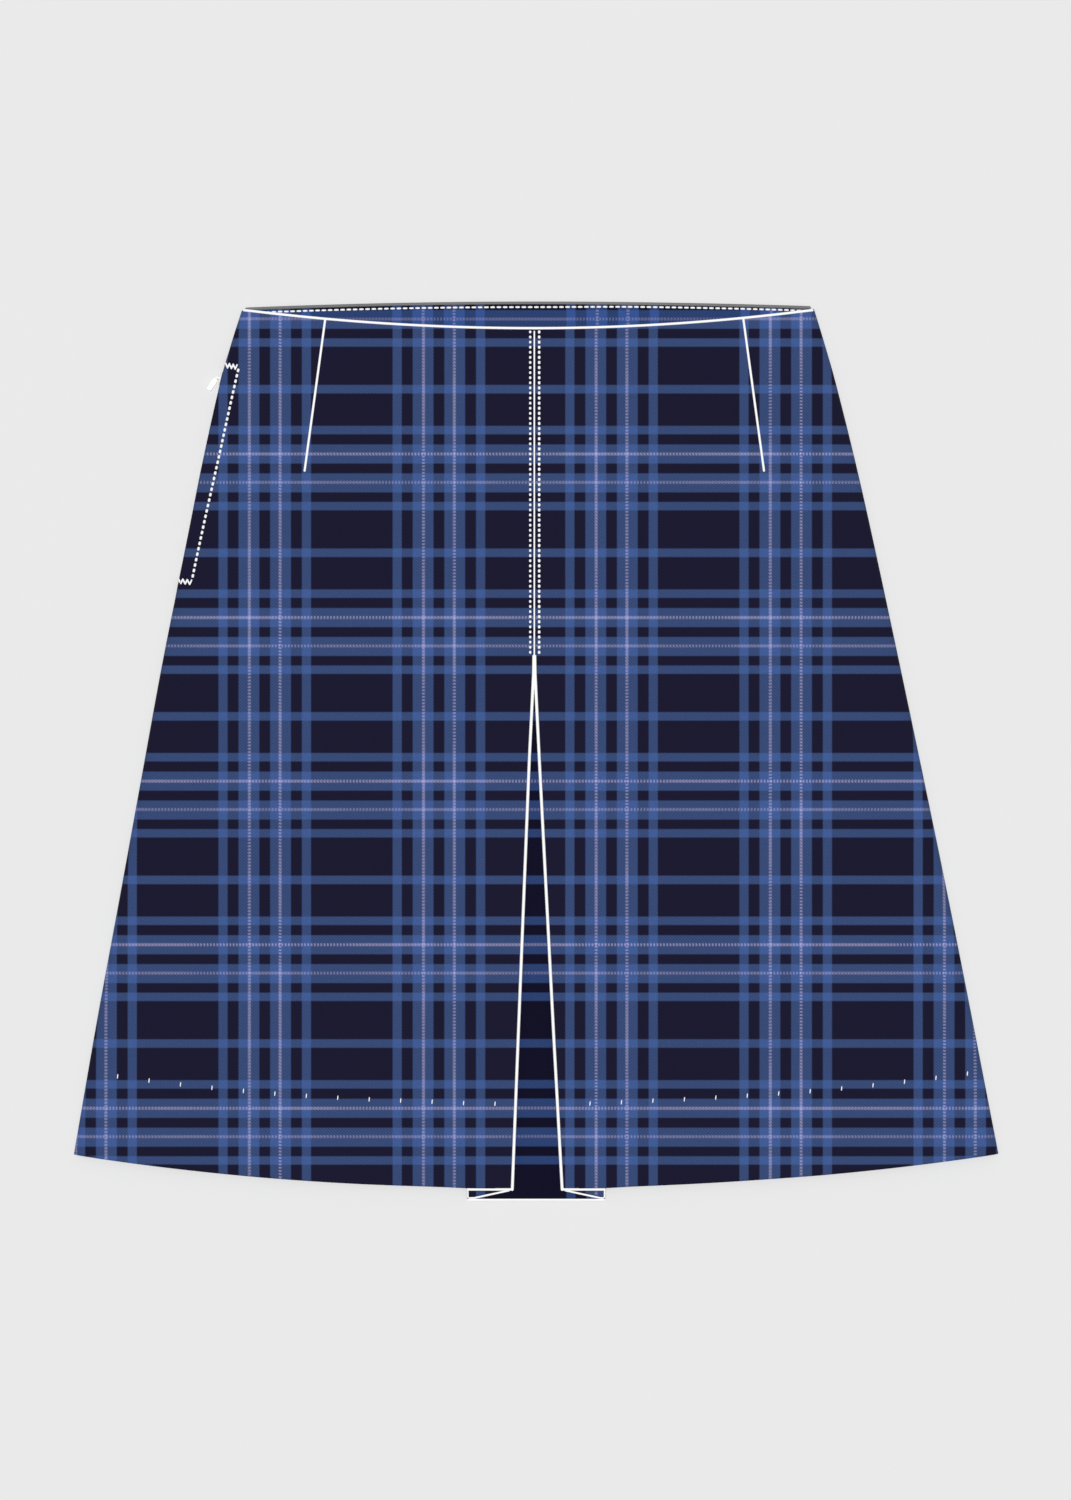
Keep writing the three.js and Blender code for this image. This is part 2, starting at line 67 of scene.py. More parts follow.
# Heights of each layer's middle over the surface
layers = {"back": 0.3, "facing": 1.35, "underlay": 1.8, "pleatReturn": 3.1, "front": 4.6}

originAcross = 1.0  # halfway between the solids' hem corners
originDown = 258.3  # halfway from the back edging to the underlay's hem


def place(across, down, height):
    return Vector((across - originAcross, originDown - down, height)) * mm


def mix(a, b, share):
    return a + (b - a) * share


def spread(start, end, count):
    # Even steps, with both ends
    return [mix(start, end, k / count) for k in range(count + 1)]


def smooth(share):
    t = min(max(share, 0.0), 1.0)
    return t * t * (3 - 2 * t)


def sign(side):
    return -1 if side == "right" else 1


def sideOf(share):
    return "right" if share < 0 else "left"


def sideName(name, side):
    return name + side.capitalize()


def curveThrough(places, values, at):
    # A smooth curve, straight on past its ends
    last = len(places) - 1

    def slope(k):
        a, b = max(k - 1, 0), min(k + 1, last)
        return (values[b] - values[a]) / (places[b] - places[a])

    if at <= places[0]:
        return values[0] + slope(0) * (at - places[0])
    if at >= places[last]:
        return values[last] + slope(last) * (at - places[last])
    k = next(i for i in range(last) if places[i + 1] > at)
    span = places[k + 1] - places[k]
    rise = values[k + 1] - values[k]
    t = (at - places[k]) / span
    before, after = slope(k) * span - rise, rise - slope(k + 1) * span
    return values[k] + rise * t + t * (1 - t) * (before * (1 - t) + after * t)


def halfWidth(side, down):
    return curveThrough(skirtCut["downs"], skirtCut[side], down)


def frontWaist(share):
    return skirtCut["waistDip"] * (1 - share * share)


def backWaist(share):
    top = skirtCut["backTop"]
    return mix(top["middle"], top[sideOf(share)], share * share)


def hemLine(share):
    arc = skirtCut["hemCorner"] + skirtCut["hemSag"] * (1 - share * share)
    return arc + curveThrough(skirtCut["hemShares"], skirtCut["hemDrift"], share)


# Materials

checkPattern = {
    # Up and down stripes are alike to both sides of each group's middle
    "acrossPeriod": 101.905,
    "acrossMiddle": 44.86,
    "acrossWide": {"at": 9.25, "width": 12.1},
    "acrossNarrow": {"at": 24.4, "width": 5.3},
    "acrossPink": {"at": 9.0, "width": 1.62},
    "matching": {"right": -0.23, "left": 0.67},  # the two fronts' checks meet a little out of step
    "upPeriod": 95.71,
    "upMiddle": 165.4,
    "upStart": -60.0,  # one period is counted from here, below the group's middle
    "upBlue": [
        {"at": 8.5, "width": 11.1},
        {"at": -8.4, "width": 11.05},
        {"at": 22.5, "width": 4.9},
        {"at": -22.0, "width": 4.85},
        {"at": -49.3, "width": 4.95},
    ],
    "upPinkBright": {"at": 8.5, "width": 1.65},
    "upPinkDim": {"at": -8.1, "width": 1.6, "share": 0.72},
    "softEdge": 0.7,
    "twillStep": 1.9,  # along a yarn, from one twill line to the next
    "beadDepth": 1.0,  # how far the pink yarn dips under at each twill line
    "beadWave": (-0.3, 0.6),  # the part of the twill's wave over which it dips
    "beadPatches": 22.0,  # noise scale of the places where it dips more plainly
    "beadLeast": 0.3,
    "weftOnTop": (0.40, 0.60),  # the weft's least and most share, from one twill line to the next
    "patchScale": 9.0,
    "patchShade": (0.97, 1.03),  # uneven dye over a hand's breadth
    "fleckScale": 620.0,
    "fleckShade": (0.95, 1.05),
    "yarnPitch": 0.475,
    "yarnRelief": 0.4,  # beside a twill line's relief of 1
    "reliefStrength": 0.25,
    "reliefHeight": 0.00004,
}

yarns = {
    "outside": {
        "dark": (0.0062, 0.0053, 0.0222),
        "blue": (0.0545, 0.1075, 0.282),
        "crossing": (0.0425, 0.0875, 0.253),
        "pink": (0.375, 0.37, 0.635),
    },
    # The same yarns darkened: painted shade, for the back, its facing and the pleat's underlay
    "inside": {
        "dark": (0.0016, 0.0011, 0.0130),
        "blue": (0.036, 0.085, 0.265),
        "crossing": (0.030, 0.074, 0.245),
        "pink": (0.28, 0.28, 0.51),
    },
}


def startMaterial(name):
    material = bpy.data.materials.new(name)
    material.use_nodes = True
    nodes = material.node_tree.nodes
    nodes.clear()
    shader = nodes.new("ShaderNodeBsdfPrincipled")
    output = nodes.new("ShaderNodeOutputMaterial")
    material.node_tree.links.new(shader.outputs["BSDF"], output.inputs["Surface"])
    return material, shader


def join(material, source, target):
    # target is a socket, and source another socket or a fixed value
    if isinstance(source, bpy.types.NodeSocket):
        material.node_tree.links.new(source, target)
    else:
        target.default_value = source


def calc(material, operation, *values):
    node = material.node_tree.nodes.new("ShaderNodeMath")
    node.operation = operation
    for k, value in enumerate(values):
        join(material, value, node.inputs[k])
    return node.outputs[0]


def blendColours(material, factor, first, second, kind="MIX"):
    node = material.node_tree.nodes.new("ShaderNodeMix")
    node.data_type = "RGBA"
    node.blend_type = kind
    join(material, factor, node.inputs[0])
    join(material, first, node.inputs[6])
    join(material, second, node.inputs[7])
    return node.outputs[2]


def mapRange(material, value, fromLow, fromHigh, toLow, toHigh):
    node = material.node_tree.nodes.new("ShaderNodeMapRange")
    for k, number in enumerate((value, fromLow, fromHigh, toLow, toHigh)):
        join(material, number, node.inputs[k])
    return node.outputs[0]


def noise(material, vector, scale, detail=2.0):
    node = material.node_tree.nodes.new("ShaderNodeTexNoise")
    node.inputs["Scale"].default_value = scale
    node.inputs["Detail"].default_value = detail
    join(material, vector, node.inputs["Vector"])
    return node.outputs["Fac"]


def unevenness(material, spot, scale, low, high):
    return mapRange(material, noise(material, spot, scale), 0.3, 0.7, low, high)


def sineOf(material, value, turn):
    return calc(material, "SINE", calc(material, "MULTIPLY", value, turn))


def clothPlace(material):
    # The place on the cloth, and its distances along and up the cloth in millimetres
    uv = material.node_tree.nodes.new("ShaderNodeUVMap")
    uv.uv_map = "cloth"
    parts = material.node_tree.nodes.new("ShaderNodeSeparateXYZ")
    join(material, uv.outputs["UV"], parts.inputs[0])
    x, y = [calc(material, "MULTIPLY", parts.outputs[k], 1 / mm) for k in range(2)]
    return uv.outputs["UV"], x, y


def objectPlace(material):
    node = material.node_tree.nodes.new("ShaderNodeTexCoord")
    return node.outputs["Object"]


def addBump(material, shader, height, strength, distance):
    node = material.node_tree.nodes.new("ShaderNodeBump")
    node.inputs["Strength"].default_value = strength
    node.inputs["Distance"].default_value = distance
    join(material, height, node.inputs["Height"])
    join(material, node.outputs["Normal"], shader.inputs["Normal"])


def greyOf(material, value):
    node = material.node_tree.nodes.new("ShaderNodeCombineXYZ")
    for k in range(3):
        join(material, value, node.inputs[k])
    return node.outputs[0]


def setShader(shader, values):
    for socket, value in values.items():
        shader.inputs[socket].default_value = value


def stripe(material, value, band):
    away = calc(material, "ABSOLUTE", calc(material, "SUBTRACT", value, band["at"]))
    soft = checkPattern["softEdge"] / 2
    half = band["width"] / 2
    return mapRange(material, away, half - soft, half + soft, band.get("share", 1.0), 0.0)


def strongest(material, masks):
    total = masks[0]
    for mask in masks[1:]:
        total = calc(material, "MAXIMUM", total, mask)
    return total


def plainWeave(material, x, y, pitch):
    turn = 2 * math.pi / pitch
    return calc(material, "MULTIPLY", sineOf(material, x, turn), sineOf(material, y, turn))


def makeCheck(name, colours):
    material, shader = startMaterial(name)
    uv, x, y = clothPlace(material)
    cut = checkPattern

    fromGroup = calc(material, "SUBTRACT", x, cut["acrossMiddle"])
    away = calc(material, "PINGPONG", fromGroup, cut["acrossPeriod"] / 2)
    warpBlue = strongest(material, [stripe(material, away, cut[k]) for k in ("acrossWide", "acrossNarrow")])
    warpPink = stripe(material, away, cut["acrossPink"])

    rise = calc(material, "SUBTRACT", y, cut["upMiddle"])
    rise = calc(material, "WRAP", rise, cut["upStart"] + cut["upPeriod"], cut["upStart"])
    weftBlue = strongest(material, [stripe(material, rise, band) for band in cut["upBlue"]])
    weftPink = strongest(material, [stripe(material, rise, cut[k]) for k in ("upPinkBright", "upPinkDim")])

    # The pink yarn goes under at each twill line, more plainly in some places
    twillTurn = 2 * math.pi / cut["twillStep"]
    plain = mapRange(material, noise(material, uv, cut["beadPatches"]), 0.42, 0.62, cut["beadLeast"], 1.0)

    def beaded(mask, along):
        wave = sineOf(material, along, twillTurn)
        under = mapRange(material, wave, *cut["beadWave"], 0.0, cut["beadDepth"])
        dip = calc(material, "MULTIPLY", under, plain)
        return calc(material, "MULTIPLY", mask, calc(material, "SUBTRACT", 1.0, dip))

    warpPink = beaded(warpPink, y)
    weftPink = beaded(weftPink, x)
    dark, pink = (*colours["dark"], 1), (*colours["pink"], 1)
    crossing = calc(material, "MULTIPLY", warpBlue, weftBlue)
    blue = blendColours(material, crossing, (*colours["blue"], 1), (*colours["crossing"], 1))
    warp = blendColours(material, warpPink, blendColours(material, warpBlue, dark, blue), pink)
    weft = blendColours(material, weftPink, blendColours(material, weftBlue, dark, blue), pink)

    # Twill: each yarn shows on top for part of its way, a step further along in the next
    lines = sineOf(material, calc(material, "ADD", x, y), twillTurn)
    onTop = mapRange(material, lines, -1.0, 1.0, *cut["weftOnTop"])
    colour = blendColours(material, onTop, warp, weft)

    patches = unevenness(material, uv, cut["patchScale"], *cut["patchShade"])
    flecks = unevenness(material, uv, cut["fleckScale"], *cut["fleckShade"])
    shade = greyOf(material, calc(material, "MULTIPLY", patches, flecks))
    dyed = blendColours(material, 1.0, colour, shade, "MULTIPLY")
    join(material, dyed, shader.inputs["Base Color"])

    crossings = calc(material, "MULTIPLY", plainWeave(material, x, y, cut["yarnPitch"]), cut["yarnRelief"])
    relief = calc(material, "ADD", crossings, lines)
    addBump(material, shader, relief, cut["reliefStrength"], cut["reliefHeight"])
    setShader(shader, {"Roughness": 0.88, "Specular IOR Level": 0.12})
    setShader(shader, {"Sheen Weight": 0.04, "Sheen Roughness": 0.5})
    return material


cordYarn = {
    "strands": 3,
    "pitch": 3.4,  # along the cord, for one turn of its plies
    "fibreScale": 2600.0,
    "fibreRelief": 0.3,
    "reliefStrength": 0.5,
    "reliefHeight": 0.00012,
}


def makeCord(name, base, grooveShade):
    # Twisted cotton: the plies wind round the cord, along its own map
    material, shader = startMaterial(name)
    uv, along, _ = clothPlace(material)
    parts = material.node_tree.nodes.new("ShaderNodeSeparateXYZ")
    join(material, uv, parts.inputs[0])
    winding = calc(material, "ADD", calc(material, "DIVIDE", along, cordYarn["pitch"]), parts.outputs[1])
    turn = calc(material, "MULTIPLY", winding, 2 * math.pi * cordYarn["strands"])
    plies = calc(material, "ABSOLUTE", sineOf(material, turn, 0.5))
    depth = mapRange(material, plies, 0.0, 0.7, 0.0, 1.0)
    fibres = noise(material, objectPlace(material), cordYarn["fibreScale"])
    # The grooves between the plies take the darker colour: painted shade. Fibres also fade towards it at
    # random
    colour = blendColours(material, depth, (*grooveShade, 1), (*base, 1))
    faded = mapRange(material, fibres, 0.3, 0.7, 0.0, 0.25)
    join(material, blendColours(material, faded, colour, (*grooveShade, 1)), shader.inputs["Base Color"])
    relief = calc(material, "ADD", plies, calc(material, "MULTIPLY", fibres, cordYarn["fibreRelief"]))
    addBump(material, shader, relief, cordYarn["reliefStrength"], cordYarn["reliefHeight"])
    setShader(shader, {"Roughness": 0.8, "Specular IOR Level": 0.25, "Sheen Weight": 0.1})
    return material


threadTwist = {"scale": 420.0, "waver": 0.6, "reliefStrength": 0.4, "reliefHeight": 0.00008}


def makeThread(name, base, grooveShade):
    # Spun thread with its twist, in the skirt's own coordinates
    material, shader = startMaterial(name)
    spot = objectPlace(material)
    wave = material.node_tree.nodes.new("ShaderNodeTexWave")
    wave.bands_direction = "DIAGONAL"
    wave.inputs["Scale"].default_value = threadTwist["scale"]
    wave.inputs["Distortion"].default_value = threadTwist["waver"]
    join(material, spot, wave.inputs["Vector"])
    twist = wave.outputs["Fac"]
    # The twist's hollows take the darker colour: painted shade
    join(material, blendColours(material, twist, (*grooveShade, 1), (*base, 1)), shader.inputs["Base Color"])
    addBump(material, shader, twist, threadTwist["reliefStrength"], threadTwist["reliefHeight"])
    setShader(shader, {"Roughness": 0.55, "Specular IOR Level": 0.3})
    return material


def makePlain(name, base, second, pitch):
    # A plain weave in one colour, for tape and pocket lining
    material, shader = startMaterial(name)
    uv, x, y = clothPlace(material)
    weave = plainWeave(material, x, y, pitch)
    # Lighter on the weave's crossings and darker in its hollows: painted light and shade, plus uneven tone
    # at random
    weaveShadeAndMottle = mapRange(material, weave, -1.0, 1.0, 0.2, 0.8)
    weaveShadeAndMottle = calc(material, "ADD", weaveShadeAndMottle, unevenness(material, uv, 40.0, -0.15, 0.15))
    join(material, blendColours(material, weaveShadeAndMottle, (*base, 1), (*second, 1)), shader.inputs["Base Color"])
    addBump(material, shader, weave, 0.4, 0.00008)
    setShader(shader, {"Roughness": 0.85, "Specular IOR Level": 0.15})
    return material


plasticGrain = {"cloudScale": 240.0, "scale": 2400.0, "detail": 3.0, "roughness": (0.28, 0.42)}


def makePlastic(name, base, worn):
    # Moulded plastic, slightly cloudy and with a fine grain
    material, shader = startMaterial(name)
    spot = objectPlace(material)
    clouds = mapRange(material, noise(material, spot, plasticGrain["cloudScale"]), 0.35, 0.75, 0.0, 1.0)
    join(material, blendColours(material, clouds, (*base, 1), (*worn, 1)), shader.inputs["Base Color"])
    grain = noise(material, spot, plasticGrain["scale"], plasticGrain["detail"])
    satin = mapRange(material, grain, 0.2, 0.8, *plasticGrain["roughness"])
    join(material, satin, shader.inputs["Roughness"])
    addBump(material, shader, grain, 0.12, 0.00004)
    setShader(shader, {"Specular IOR Level": 0.45})
    return material


checkCloth = makeCheck("checkCloth", yarns["outside"])
# The check cloth darkened all over with painted shade, for the back, its facing and the underlay
checkPaintedShade = makeCheck("checkPaintedShade", yarns["inside"])
# Each cord's and thread's second colour is painted shade in its grooves
whiteCord = makeCord("whiteCord", (0.96, 0.96, 0.955), (0.86, 0.86, 0.87))
# Grey: the white piping darkened as painted shade, for the back waist
paintedShadeCord = makeCord("paintedShadeCord", (0.185, 0.185, 0.19), (0.13, 0.13, 0.133))
whiteThread = makeThread("whiteThread", (0.96, 0.96, 0.96), (0.82, 0.82, 0.84))
# Each plain weave's second, lighter colour is painted light on its crossings
pocketLining = makePlain("pocketLining", (0.010, 0.010, 0.024), (0.016, 0.015, 0.034), 0.7)
tapeWeave = makePlain("tapeWeave", (0.010, 0.009, 0.026), (0.018, 0.016, 0.04), 0.9)
zipPlastic = makePlastic("zipPlastic", (0.90, 0.90, 0.89), (0.82, 0.82, 0.80))
sliderPlastic = makePlastic("sliderPlastic", (0.74, 0.74, 0.73), (0.69, 0.69, 0.68))
print("materials made")


# Making and finishing pieces

def finishPiece(name, bm, material, body, nodes):
    for face in bm.faces:
        face.smooth = True
    mesh = bpy.data.meshes.new(name)
    bm.to_mesh(mesh)
    bm.free()
    mesh.materials.append(material)
    piece = bpy.data.objects.new(name, mesh)
    bpy.context.scene.collection.objects.link(piece)
    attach(piece, body)
    if nodes:
        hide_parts(*nodes)
    return piece


def flatSpot(across, down, height):
    # A place on cloth that lies flat, and the same place on the cloth
    where = place(across, down, height)
    return where, (where.x, where.y)


def clothMap(bm):
    return bm.loops.layers.uv.get("cloth") or bm.loops.layers.uv.new("cloth")


def writeMap(uvLayer, onCloth):
    # onCloth holds the place on the cloth of every point of these faces
    faces = {face for vert in onCloth for face in vert.link_faces}
    for face in faces:
        for loop in face.loops:
            loop[uvLayer].uv = onCloth[loop.vert]
    return faces


def addSheet(bm, columns, rows, spot):
    # spot(k, r) gives the place, and the place on the cloth, of column k in row r from the top
    uvLayer = clothMap(bm)
    made = bmesh.ops.create_grid(bm, x_segments=columns, y_segments=rows, size=0.5)["verts"]
    onCloth = {}
    for vert in made:
        k = round((vert.co.x + 0.5) * columns)
        r = round((0.5 - vert.co.y) * rows)
        vert.co, onCloth[vert] = spot(k, r)
    faces = writeMap(uvLayer, onCloth)
    bm.normal_update()
    if sum(face.normal.z * face.calc_area() for face in faces) < 0:
        bmesh.ops.reverse_faces(bm, faces=list(faces))


def addFlatSheet(bm, cloth, spot):
    # spot gives across, down and height, at a share of the way across and a share of the way down
    columns, rows = cloth["columns"], cloth["rows"]

    def flatAt(k, r):
        return flatSpot(*spot(k / columns, r / rows))

    addSheet(bm, columns, rows, flatAt)


clothEdge = {"rounding": 0.22, "segments": 2, "sharpest": 50.0}  # rounding is a share of the thickness


def finishCloth(name, bm, material, node, thickness=skirtCut["thickness"]):
    piece = finishPiece(name, bm, material, "skirt", [node])
    wall = piece.modifiers.new("wall", "SOLIDIFY")
    wall.thickness = thickness * mm
    wall.offset = 0
    edge = piece.modifiers.new("roundedEdge", "BEVEL")
    edge.width = thickness * clothEdge["rounding"] * mm
    edge.segments = clothEdge["segments"]
    edge.limit_method = "ANGLE"
    edge.angle_limit = math.radians(clothEdge["sharpest"])
    edge.harden_normals = True
    return piece


cordSides = 12


def addTube(bm, path, widths, heights, across):
    # A cord of oval section with round ends. widths and heights are half sizes at each point, in metres
    uvLayer = clothMap(bm)
    rings = []
    length = 0.0
    for k, point in enumerate(path):
        ahead = path[min(k + 1, len(path) - 1)] - path[max(k - 1, 0)]
        along = ahead.normalized()
        sideways = along.cross(across).normalized()
        lifted = sideways.cross(along)
        if k:
            length += (point - path[k - 1]).length
        rings.append((point, along, sideways, lifted, widths[k], heights[k], length))
    capTurns = [math.radians(a) for a in (90, 60, 30)]

    def cap(ring, facing):
        point, along, sideways, lifted, width, height, at = ring
        reach = min(width, height)
        for turn in capTurns:
            out = along * (facing * reach * math.sin(turn))
            shrink = max(math.cos(turn), 0.0)
            yield (point + out, along, sideways, lifted, width * shrink, height * shrink, at)

    rings = [*cap(rings[0], -1), *rings, *reversed(list(cap(rings[-1], 1)))]
    last = len(rings) - 1
    made = bmesh.ops.create_grid(bm, x_segments=last, y_segments=cordSides, size=0.5)["verts"]
    onCord = {}
    for vert in made:
        k = round((vert.co.x + 0.5) * last)
        share = round((vert.co.y + 0.5) * cordSides) / cordSides
        point, _, sideways, lifted, width, height, at = rings[k]
        turn = share * 2 * math.pi
        vert.co = point + sideways * (math.cos(turn) * width) + lifted * (math.sin(turn) * height)
        onCord[vert] = (at, share)
    writeMap(uvLayer, onCord)


def closeUp(bm):
    bmesh.ops.remove_doubles(bm, verts=bm.verts, dist=1e-7)
    bmesh.ops.dissolve_degenerate(bm, edges=bm.edges, dist=1e-8)
    bmesh.ops.recalc_face_normals(bm, faces=bm.faces)


def pipe(name, path, radius, node, colour="white", across=up, pressed=1.0):
    # radius is one number or one for each point, and pressed is the height's share of the width
    bm = bmesh.new()
    sizes = [radius * mm] * len(path) if isinstance(radius, (int, float)) else [r * mm for r in radius]
    addTube(bm, path, sizes, [size * pressed for size in sizes], across)
    closeUp(bm)
    material = whiteCord if colour == "white" else paintedShadeCord
    return finishPiece(name, bm, material, "skirt", [node])


stitchShape = {"roundEnd": 0.4, "sink": 0.35}  # shares of its width and of its height


def addStitch(bm, middle, along, length, width, height):
    # One stitch: a short round-ended thread that arches and goes into the cloth at both ends
    made = bmesh.ops.create_uvsphere(bm, u_segments=8, v_segments=6, radius=0.5)["verts"]
    roundEnd = stitchShape["roundEnd"] * width
    straight = (length - roundEnd) / 2
    for vert in made:
        x = vert.co.z * roundEnd
        if abs(vert.co.z) > 0.01:  # all but the ring round its middle
            x += math.copysign(straight, vert.co.z)
        sink = stitchShape["sink"] * height * (2 * x / length) ** 2
        vert.co = Vector((x, vert.co.x * width, vert.co.y * height - sink)) * mm
    xAxis = along.normalized()
    yAxis = up.cross(xAxis).normalized()
    zAxis = xAxis.cross(yAxis)
    turned = Matrix((xAxis, yAxis, zAxis)).transposed().to_4x4()
    bmesh.ops.transform(bm, matrix=Matrix.Translation(middle) @ turned, verts=made)


def roundEdges(bm, edges, offset, segments):
    return bmesh.ops.bevel(
        bm,
        geom=edges,
        offset=offset * mm,
        offset_type="OFFSET",
        segments=segments,
        profile=0.5,
        affect="EDGES",
        clamp_overlap=True,
        material=-1,
    )


def addBlock(bm, size, matrix, bevel, segments):
    # A block with rounded edges. size is in millimetres
    made = bmesh.ops.create_cube(bm, size=1.0)["verts"]
    bmesh.ops.scale(bm, vec=Vector(size) * mm, verts=made)
    edges = list({edge for vert in made for edge in vert.link_edges})
    rounded = roundEdges(bm, edges, bevel, segments)
    everything = list({vert for vert in made if vert.is_valid} | set(rounded["verts"]))
    bmesh.ops.transform(bm, matrix=matrix, verts=everything)


# The two fronts: rolled down at the side seam, level on top, folded under at the pleat

frontCloth = {
    "columns": {"roll": 10, "level": 60, "fold": 8, "return": 10},
    "rows": 156,
    "edgeClosed": 0.65,  # height of the side edge where it is sewn to the back
    "zipLift": 2.5,
    "zipTop": 33.0,
    "zipBottom": 160.0,
    "zipEase": 9.0,
    "rollTightness": 1.5,
    "waistEdge": 0.5,  # from the piping's middle to the cloth's edge, which is sewn into it
    "hemRoll": 0.325,
    "hemRows": {"roll": 6, "up": 16},
    "hemReach": 0.97,  # the turned-up hem stops this far along the level part
    "returnBottom": 518.9,
    "returnSlope": 20.5,
}

pleat = {
    "top": 202.6,
    # From the centre to the middle of each edge's piping
    "downs": [202.6, 214.0, 228.4, 263.5, 427.5, 514.5],
    "right": [0.42, 0.56, 1.22, 2.95, 9.5, 12.9],
    "left": [0.42, 0.56, 1.22, 2.95, 11.5, 16.3],
    "seamHalf": 0.75,  # from the centre to each fold above the pleat
    "underPiping": 0.78,  # from the piping's middle to the fold beneath it
    "easing": 12.0,  # from the stitched seam to the open pleat
    # How far each return reaches from the centre, at the waist and at the hem
    "depthTop": 30.0,
    "depthHem": {"right": 39.0, "left": 41.2},
}

# Soft troughs and ridges: the middle's place across and down, length, width, turn in degrees, height
softCreases = {
    "right": [
        (150, 250, 120, 22, 78, 0.28),
        (96, 340, 130, 26, 82, -0.25),
        (60, 150, 90, 20, 97, 0.18),
        (205, 400, 80, 18, 72, 0.22),
        (130, 160, 70, 17, 86, -0.2),
        (45, 420, 75, 16, 88, 0.2),
    ],
    "left": [
        (140, 235, 110, 24, 100, 0.26),
        (88, 365, 120, 22, 97, -0.24),
        (205, 330, 95, 19, 106, 0.22),
        (55, 250, 85, 18, 92, -0.16),
        (132, 140, 65, 17, 94, -0.2),
        (170, 430, 70, 20, 99, 0.2),
    ],
}

dart = {"topAcross": 122.3, "topDown": 5.4, "pointAcross": 134.4, "pointDown": 94.3}

# How far the hem, the dart and the pocket bag raise the cloth over them, and over what width
showThrough = {
    "hem": {"height": 0.16, "easing": 6.0},
    "dart": {"height": 0.22, "width": 7.0, "past": 1.05, "fade": 3.0},
    "bag": {"height": 0.2, "top": 40.0, "bottom": 214.0, "reach": 118.0, "endEasing": 8.0, "easing": 7.0},
    # All relief fades out beside the rolled edge and beside the pleat
    "side": {"from": 8.0, "easing": 10.0},
    "fold": {"from": 2.0, "easing": 8.0},
}


def pleatOpening(side, down):
    downs, places = pleat["downs"], pleat[side]
    if down <= downs[0]:
        return places[0]
    last = len(downs) - 2
    k = next((i for i in range(last) if downs[i + 1] > down), last)
    return mix(places[k], places[k + 1], (down - downs[k]) / (downs[k + 1] - downs[k]))


def foldEdge(side, down):
    opened = pleatOpening(side, down) + pleat["underPiping"]
    return mix(pleat["seamHalf"], opened, smooth((down - pleat["top"]) / pleat["easing"] + 0.5))


def pleatEdge(side, down):
    return mix(pleat["depthTop"], pleat["depthHem"][side], down / hemMiddle)


def relief(side, across, down):
    # What stands up or sinks on the level part: creases, the turned-up hem, the dart and the pocket bag
    fromEdge = halfWidth(side, down) - across
    total = 0.0
    for middleAcross, middleDown, length, width, lean, height in softCreases[side]:
        turn = math.radians(lean)
        dx, dy = across - middleAcross, down - middleDown
        along = dx * math.cos(turn) + dy * math.sin(turn)
        aside = -dx * math.sin(turn) + dy * math.cos(turn)
        total += height * math.exp(-((along / length) ** 2 + (aside / width) ** 2))
    aboveHem = hemLine(sign(side) * across / halfWidth(side, down)) - down
    hem, tuck, bag = showThrough["hem"], showThrough["dart"], showThrough["bag"]
    total += hem["height"] * smooth((skirtCut["hemDepth"] - aboveHem) / hem["easing"] + 0.5)
    share = (down - dart["topDown"]) / (dart["pointDown"] - dart["topDown"])
    if share < tuck["past"]:
        line = mix(dart["topAcross"], dart["pointAcross"], share)
        ridge = math.exp(-(((across - line) / tuck["width"]) ** 2))
        total += tuck["height"] * ridge * smooth((tuck["past"] - share) * tuck["fade"])
    if side == "right":
        ease = bag["endEasing"]
        inBag = smooth((down - bag["top"]) / ease) * smooth((bag["bottom"] - down) / ease)
        total += bag["height"] * inBag * smooth((bag["reach"] - fromEdge) / bag["easing"] + 0.5)
    atSide, atFold = showThrough["side"], showThrough["fold"]
    bySide = smooth((fromEdge - atSide["from"]) / atSide["easing"])
    byFold = smooth((across - foldEdge(side, down) - atFold["from"]) / atFold["easing"])
    return total * bySide * byFold


def sideEdgeHeight(side, down):
    closed = frontCloth["edgeClosed"]
    if side == "left":
        return closed
    ease = frontCloth["zipEase"]
    opening = smooth((down - frontCloth["zipTop"]) / ease + 1)
    closing = smooth((frontCloth["zipBottom"] - down) / ease + 1)
    return closed + frontCloth["zipLift"] * min(opening, closing)


def rollShape(side, down):
    edge = sideEdgeHeight(side, down)
    rise = layers["front"] - edge
    return edge, rise, rise * rise / frontCloth["rollTightness"]


def rollArc(run, rise, share):
    # Length of a quarter ellipse from its level end, to a share of its turn
    steps = 12
    total = 0.0
    for k in range(steps):
        turn = mix(math.pi / 2, math.pi / 2 * share, (k + 0.5) / steps)
        total += math.hypot(run * math.sin(turn), rise * math.cos(turn))
    return total * (math.pi / 2) * (1 - share) / steps


